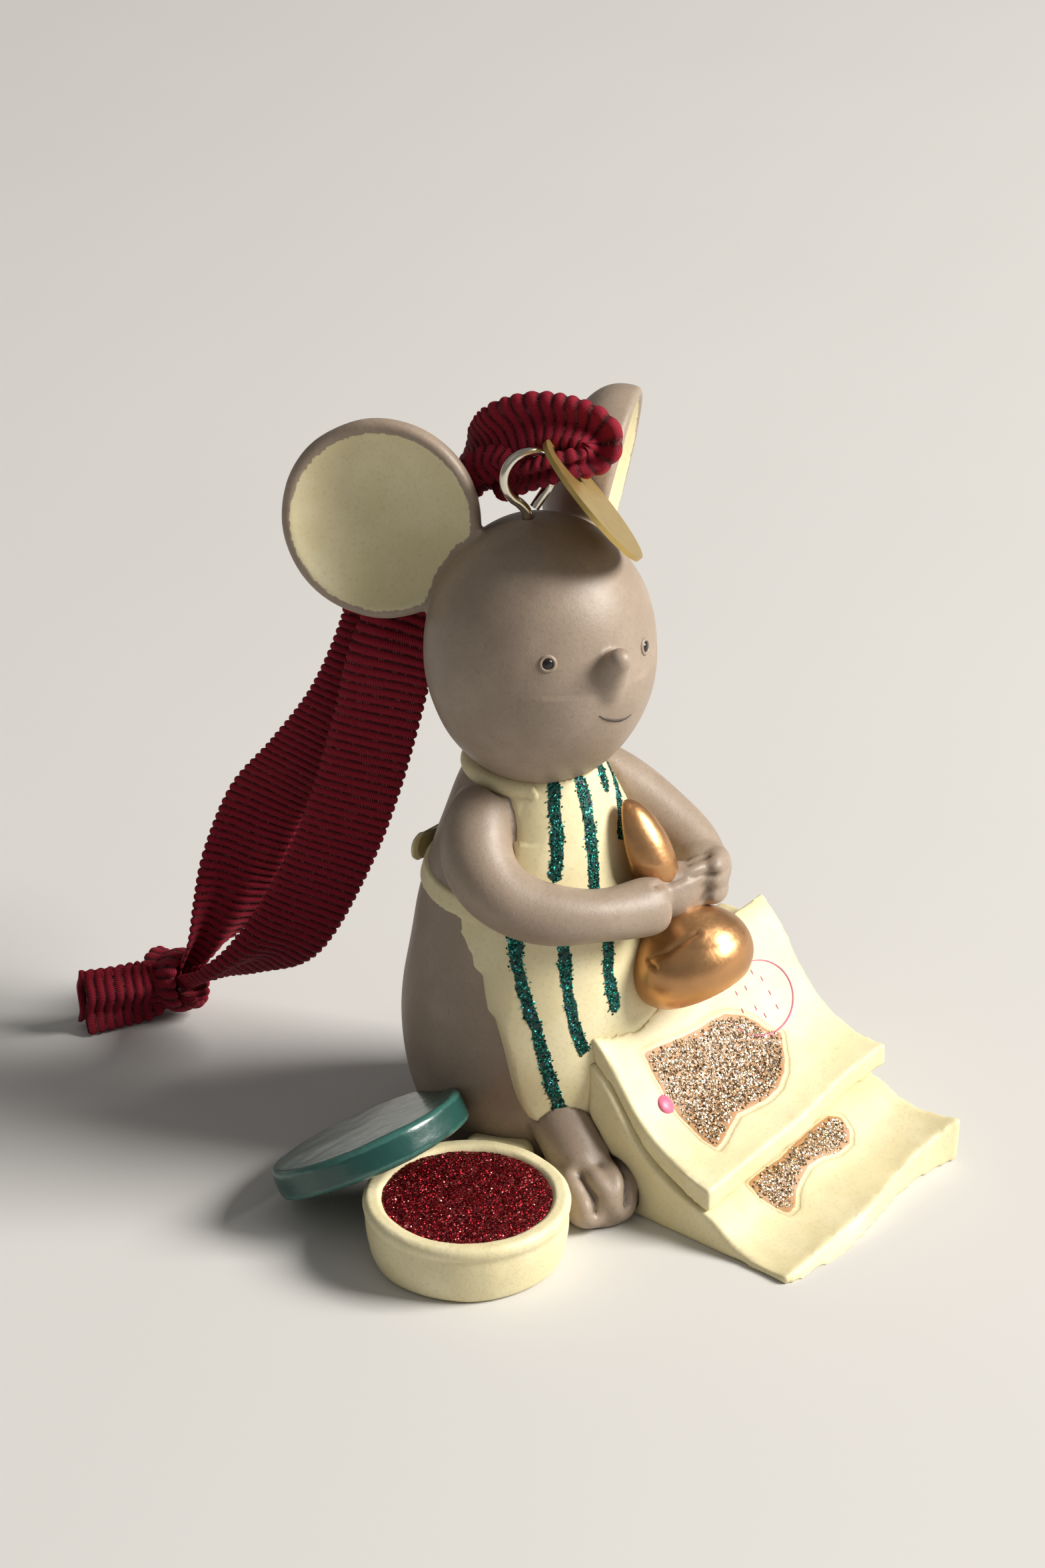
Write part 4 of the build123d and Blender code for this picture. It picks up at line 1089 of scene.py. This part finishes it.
keep_value(ink.data, "glitter", np.where(heights > INK_TOP - 1.0, 1.0, 0.0))
dress(ink, red_bed)
scatter("ink_glitter", ink, per_mm2=22.0, radius=0.16, seed=21, material=red_flakes)

# %% [markdown]
# ## Screw eye and tag
#
# The eye is one bent wire: a shank, a ring, and a cut end that comes back to the shank. A wire that follows
# points is a curve with a round bevel, turned into a mesh. The tag keeps its CAD solid and gets brass.

# %% Screw eye as a bent wire
EYE_CENTRE, EYE_RING, WIRE = np.array((-0.45, 0.45, 87.1)), 3.0, 0.60
EYE_SIDE = np.array((math.cos(math.radians(-28)), math.sin(math.radians(-28)), 0))
wire_points = [EYE_CENTRE + np.array((0, 0, -11.0)), EYE_CENTRE + np.array((0, 0, -7.0)),
               EYE_CENTRE + np.array((0, 0, -4.6))]
for degrees in range(-70, 250, 16):
    a = math.radians(degrees)
    drop = -0.5 * max(0.0, -math.sin(a)) ** 3
    wire_points.append(EYE_CENTRE + EYE_SIDE * (-math.cos(a) * EYE_RING)
                       + np.array((0, 0, math.sin(a) * EYE_RING + drop)))
wire_points.append(EYE_CENTRE + EYE_SIDE * 0.75 + np.array((0, 0, -4.1)))
curve = bpy.data.curves.new("eye_wire", "CURVE")
curve.dimensions, curve.bevel_depth, curve.bevel_resolution, curve.use_fill_caps = "3D", WIRE * MM, 5, True
spline = curve.splines.new("NURBS")
spline.points.add(len(wire_points) - 1)
for point, place in zip(spline.points, wire_points):
    point.co = (*(place * MM), 1)
spline.order_u, spline.use_endpoint_u, spline.resolution_u = 3, True, 8
wire = new_object("wire_line", curve)
wire_mesh = bpy.data.meshes.new_from_object(wire.evaluated_get(bpy.context.evaluated_depsgraph_get()))
bpy.data.objects.remove(wire)
face_outwards(wire_mesh)
eye = new_object("eye_wire", wire_mesh)
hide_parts("screw_eye")
dress(eye, plated_steel)
print("eye wire", len(wire_mesh.polygons), "faces")

# %% Brass for the tag
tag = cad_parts["tag"]
tag.data.materials.clear()
tag.data.materials.append(tag_brass)
print("tag", len(tag.data.polygons), "faces")

# %% [markdown]
# ## Ribbon
#
# The ribbon is one ten-millimetre band of coarse grosgrain, with a thick round rib every millimetre and a
# quarter and scalloped edges. It runs from one cut end through the knot, up behind the ear, through the ring
# and the tag in gathered folds, and back down. A band with a rib bump would have a straight edge, so the ribs
# are real: the band is sampled every 0.16 mm along its route, and its thickness and width follow the rib's
# wave. Where it is gathered it shows narrower than it is, and the rest of its width goes into waves.

# %% Route of the ribbon
WIDE, PITCH, STEP = 10.0, 1.25, 0.16
FLAT = (0.574, -0.819, 0)
# x, y, z, shown width, direction across the band
ROUTE = [
    (-20.1, 57.0, 4.5, 8.2, (0.05, 0.10, 1.0)), (-16.2, 55.0, 4.4, 7.8, (0.05, 0.08, 1.0)),
    (-12.4, 53.0, 4.3, 7.0, (0.1, 0.0, 1.0)), (-9.8, 52.4, 4.6, 3.4, (0.5, 0.1, 0.8)),
    (-8.6, 51.4, 5.2, 3.0, (0.9, 0.1, 0.3)), (-8.7, 49.2, 6.2, 4.2, (0.985, -0.174, 0)),
    (-9.0, 46.3, 8.0, 6.2, (0.940, -0.342, 0)), (-9.1, 41.8, 10.6, 8.0, (0.819, -0.574, 0)),
    (-8.6, 35.9, 15.0, 9.6, (0.643, -0.766, 0)), (-8.0, 31.4, 20.9, 10.0, FLAT),
    (-7.3, 25.9, 31.8, 10.0, FLAT), (-6.8, 21.9, 42.3, 10.0, FLAT),
    (-6.4, 19.0, 52.2, 10.0, FLAT), (-5.8, 16.8, 61.4, 10.0, FLAT),
    (-2.6, 16.3, 68.7, 8.6, (0.707, -0.707, 0)), (-0.2, 14.6, 75.5, 7.0, (0.940, -0.342, 0)),
    (0.8, 12.1, 80.7, 5.6, (0.996, -0.087, 0)), (0.8, 9.4, 84.0, 5.6, (0.75, -0.087, -0.6)),
    (0.6, 6.4, 85.4, 6.4, (0.25, 0, -0.97)), (0.0, 3.2, 86.3, 5.6, (0, 0, -1)),
    (-0.4, 0.4, 87.2, 3.4, (0, 0, -1)), (1.3, -3.5, 88.9, 3.0, (0.3, -0.36, -0.88)),
    (3.7, -5.4, 89.4, 4.0, (0.6, -0.72, -0.35)), (5.1, -5.5, 91.1, 5.4, (0.64, -0.77, 0)),
    (4.6, -3.4, 92.3, 6.2, (0.60, -0.60, 0.45)), (3.0, 0.9, 92.2, 7.4, (0.30, -0.05, 0.95)),
    (1.6, 3.9, 90.8, 8.4, (0.05, 0.45, 0.89)), (1.0, 6.4, 88.8, 8.4, (0.05, 0.62, 0.78)),
    (0.8, 9.2, 86.8, 7.0, (0.50, 0.40, 0.72)), (0.9, 11.6, 85.0, 6.2, (0.90, 0.1, 0.35)),
    (1.1, 14.0, 82.9, 6.2, (0.996, -0.087, 0)),
    (0.8, 18.0, 78.3, 7.2, (0.906, -0.423, 0)), (-1.2, 20.5, 70.5, 9.2, (0.707, -0.707, 0)),
    (-2.7, 21.4, 61.4, 10.0, FLAT), (-3.3, 25.9, 51.3, 10.0, FLAT),
    (-4.1, 32.0, 42.4, 10.0, FLAT), (-4.9, 38.4, 34.1, 10.0, FLAT),
    (-5.5, 42.7, 24.4, 9.8, FLAT), (-6.0, 45.1, 17.0, 8.8, (0.707, -0.707, 0)),
    (-6.8, 47.6, 11.5, 6.6, (0.866, -0.500, 0)), (-7.6, 50.4, 7.4, 4.6, (0.966, -0.259, 0)),
    (-8.2, 52.2, 5.6, 3.0, (0.8, 0.1, 0.6)), (-9.6, 53.8, 4.9, 3.6, (0.4, 0.1, 0.9)),
    (-11.8, 54.9, 4.4, 7.0, (0.1, 0.0, 1.0)), (-15.6, 56.6, 4.5, 7.6, (0.03, -0.06, 1.0)),
    (-19.6, 58.9, 4.6, 8.0, (0.03, -0.08, 1.0)),
]


def smooth_route(stations, step):
    """Samples a smooth line through the stations at equal steps of its length."""
    table = np.array([(*s[:4], *s[4]) for s in stations], float)
    padded = np.vstack([2 * table[0] - table[1], table, 2 * table[-1] - table[-2]])
    fine = []
    for i in range(1, len(padded) - 2):
        a, b, c, d = padded[i - 1:i + 3]
        for t in np.linspace(0, 1, 24, endpoint=False):
            fine.append(0.5 * (2 * b + (c - a) * t + (2 * a - 5 * b + 4 * c - d) * t ** 2
                               + (3 * b - a - 3 * c + d) * t ** 3))
    fine = np.array(fine + [table[-1]])
    length = np.concatenate([[0], np.cumsum(np.linalg.norm(np.diff(fine[:, :3], axis=0), axis=1))])
    at = np.arange(0, length[-1], step)
    return at, np.stack([np.interp(at, length, column) for column in fine.T], 1)


# %% Band with ribs, scallops and gathers
SCALLOP, CORE, RIB_RISE, GATHER_RISE = 0.36, 0.12, 0.33, 0.95


def band(stations, count=20, start_at=0.0, waves=1.0):
    """A closed band along a route; UV runs along in ribs and across in shares of the width."""
    at, row = smooth_route(stations, STEP)
    centre, shown = row[:, :3], row[:, 3]
    ahead = unit(np.gradient(centre, axis=0))
    across = unit(row[:, 4:] - (row[:, 4:] * ahead).sum(1)[:, None] * ahead)
    out = np.cross(ahead, across)
    rib = np.abs(np.sin(math.pi * (at + start_at) / PITCH))
    gather = np.sqrt(np.clip(1 - (shown / WIDE) ** 2, 0, 1))
    half = shown / 2 + SCALLOP * (rib ** 0.8 - 0.5)
    thick = CORE + RIB_RISE * rib ** 0.75
    points, uvs = [], []
    share = np.linspace(-1, 1, count)
    sway = ripple(centre, 9.0, 30.0)
    for i in range(len(at)):
        wave = waves * gather[i] * GATHER_RISE * np.sin(share * math.pi * 1.5 + 0.8 + sway[i])
        wave = wave + 0.25 * sway[i] * share ** 2
        lean = 0.12 * np.sin(share * 2.2 + sway[i] * 2) * (1 - gather[i])
        edge = np.clip((1 - np.abs(share)) * 6, 0.05, 1) ** 0.5
        middle = centre[i] + np.outer(share * half[i], across[i]) + np.outer(wave, out[i])
        middle = middle + np.outer(lean, ahead[i])
        for side in (1, -1):
            order = slice(None) if side == 1 else slice(None, None, -1)
            layer = middle + side * np.outer(thick[i] * edge, out[i])
            points.append(layer[order])
            uvs.append(np.stack([np.full(count, (at[i] + start_at) / PITCH), (share[order] + 1) / 2], 1))
    loop = 2 * count
    points, uvs = np.concatenate(points), np.concatenate(uvs)
    faces = []
    for i in range(len(at) - 1):
        for j in range(loop):
            k = (j + 1) % loop
            faces.append((i * loop + j, (i + 1) * loop + j, (i + 1) * loop + k, i * loop + k))
    faces += [tuple(range(loop)), tuple((len(at) - 1) * loop + j for j in range(loop))[::-1]]
    return points, faces, uvs, at[-1]


points, faces, uvs, length = band(ROUTE)
print("route", round(length), "mm long")

# %% Knot and the ribbon's mesh
KNOT, KNOT_AHEAD = np.array((-8.5, 52.4, 4.7)), unit((-0.30, 0.90, -0.28))
TURNS, KNOT_WIDE, KNOT_REACH = 15, 5.6, 3.1
knot_side = unit(np.cross(KNOT_AHEAD, (0, 0, 1)))
knot_up = np.cross(knot_side, KNOT_AHEAD)
wrap = []
for i in range(TURNS):
    a = math.radians(200 + 30 * i)
    reach = KNOT_REACH + 0.5 * i / (TURNS - 1)
    place = KNOT + (knot_side * math.cos(a) * reach + knot_up * math.sin(a) * reach * 1.02)
    place = place + KNOT_AHEAD * (i - TURNS // 2) * 0.16
    place[2] = max(place[2], 1.0)
    wrap.append((*place, KNOT_WIDE, tuple(KNOT_AHEAD + 0.25 * knot_side)))
knot_points, knot_faces, knot_uvs, knot_length = band(wrap, start_at=0.7, waves=0.25)
offset = len(points)
faces = faces + [tuple(v + offset for v in face) for face in knot_faces]
points, uvs = np.concatenate([points, knot_points]), np.concatenate([uvs, knot_uvs])
points[:, 2] = np.maximum(points[:, 2], 0.05)
ribbon_mesh = mesh_of("ribbon", points, faces)
layer = ribbon_mesh.uv_layers.new(name="UVMap")
corner = np.empty(len(ribbon_mesh.loops), int)
ribbon_mesh.loops.foreach_get("vertex_index", corner)
layer.data.foreach_set("uv", uvs[corner].ravel())
face_outwards(ribbon_mesh)
ribbon = new_object("ribbon", ribbon_mesh)
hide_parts("ribbon_fold", "ribbon_near_leg", "ribbon_far_leg", "ribbon_knot", "ribbon_front_end",
            "ribbon_back_end")
dress(ribbon, crimson_ribbon, None)
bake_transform(ribbon)
(length + knot_length) * MM
print("ribbon", round(length + knot_length), "mm long,", len(ribbon_mesh.polygons), "faces")
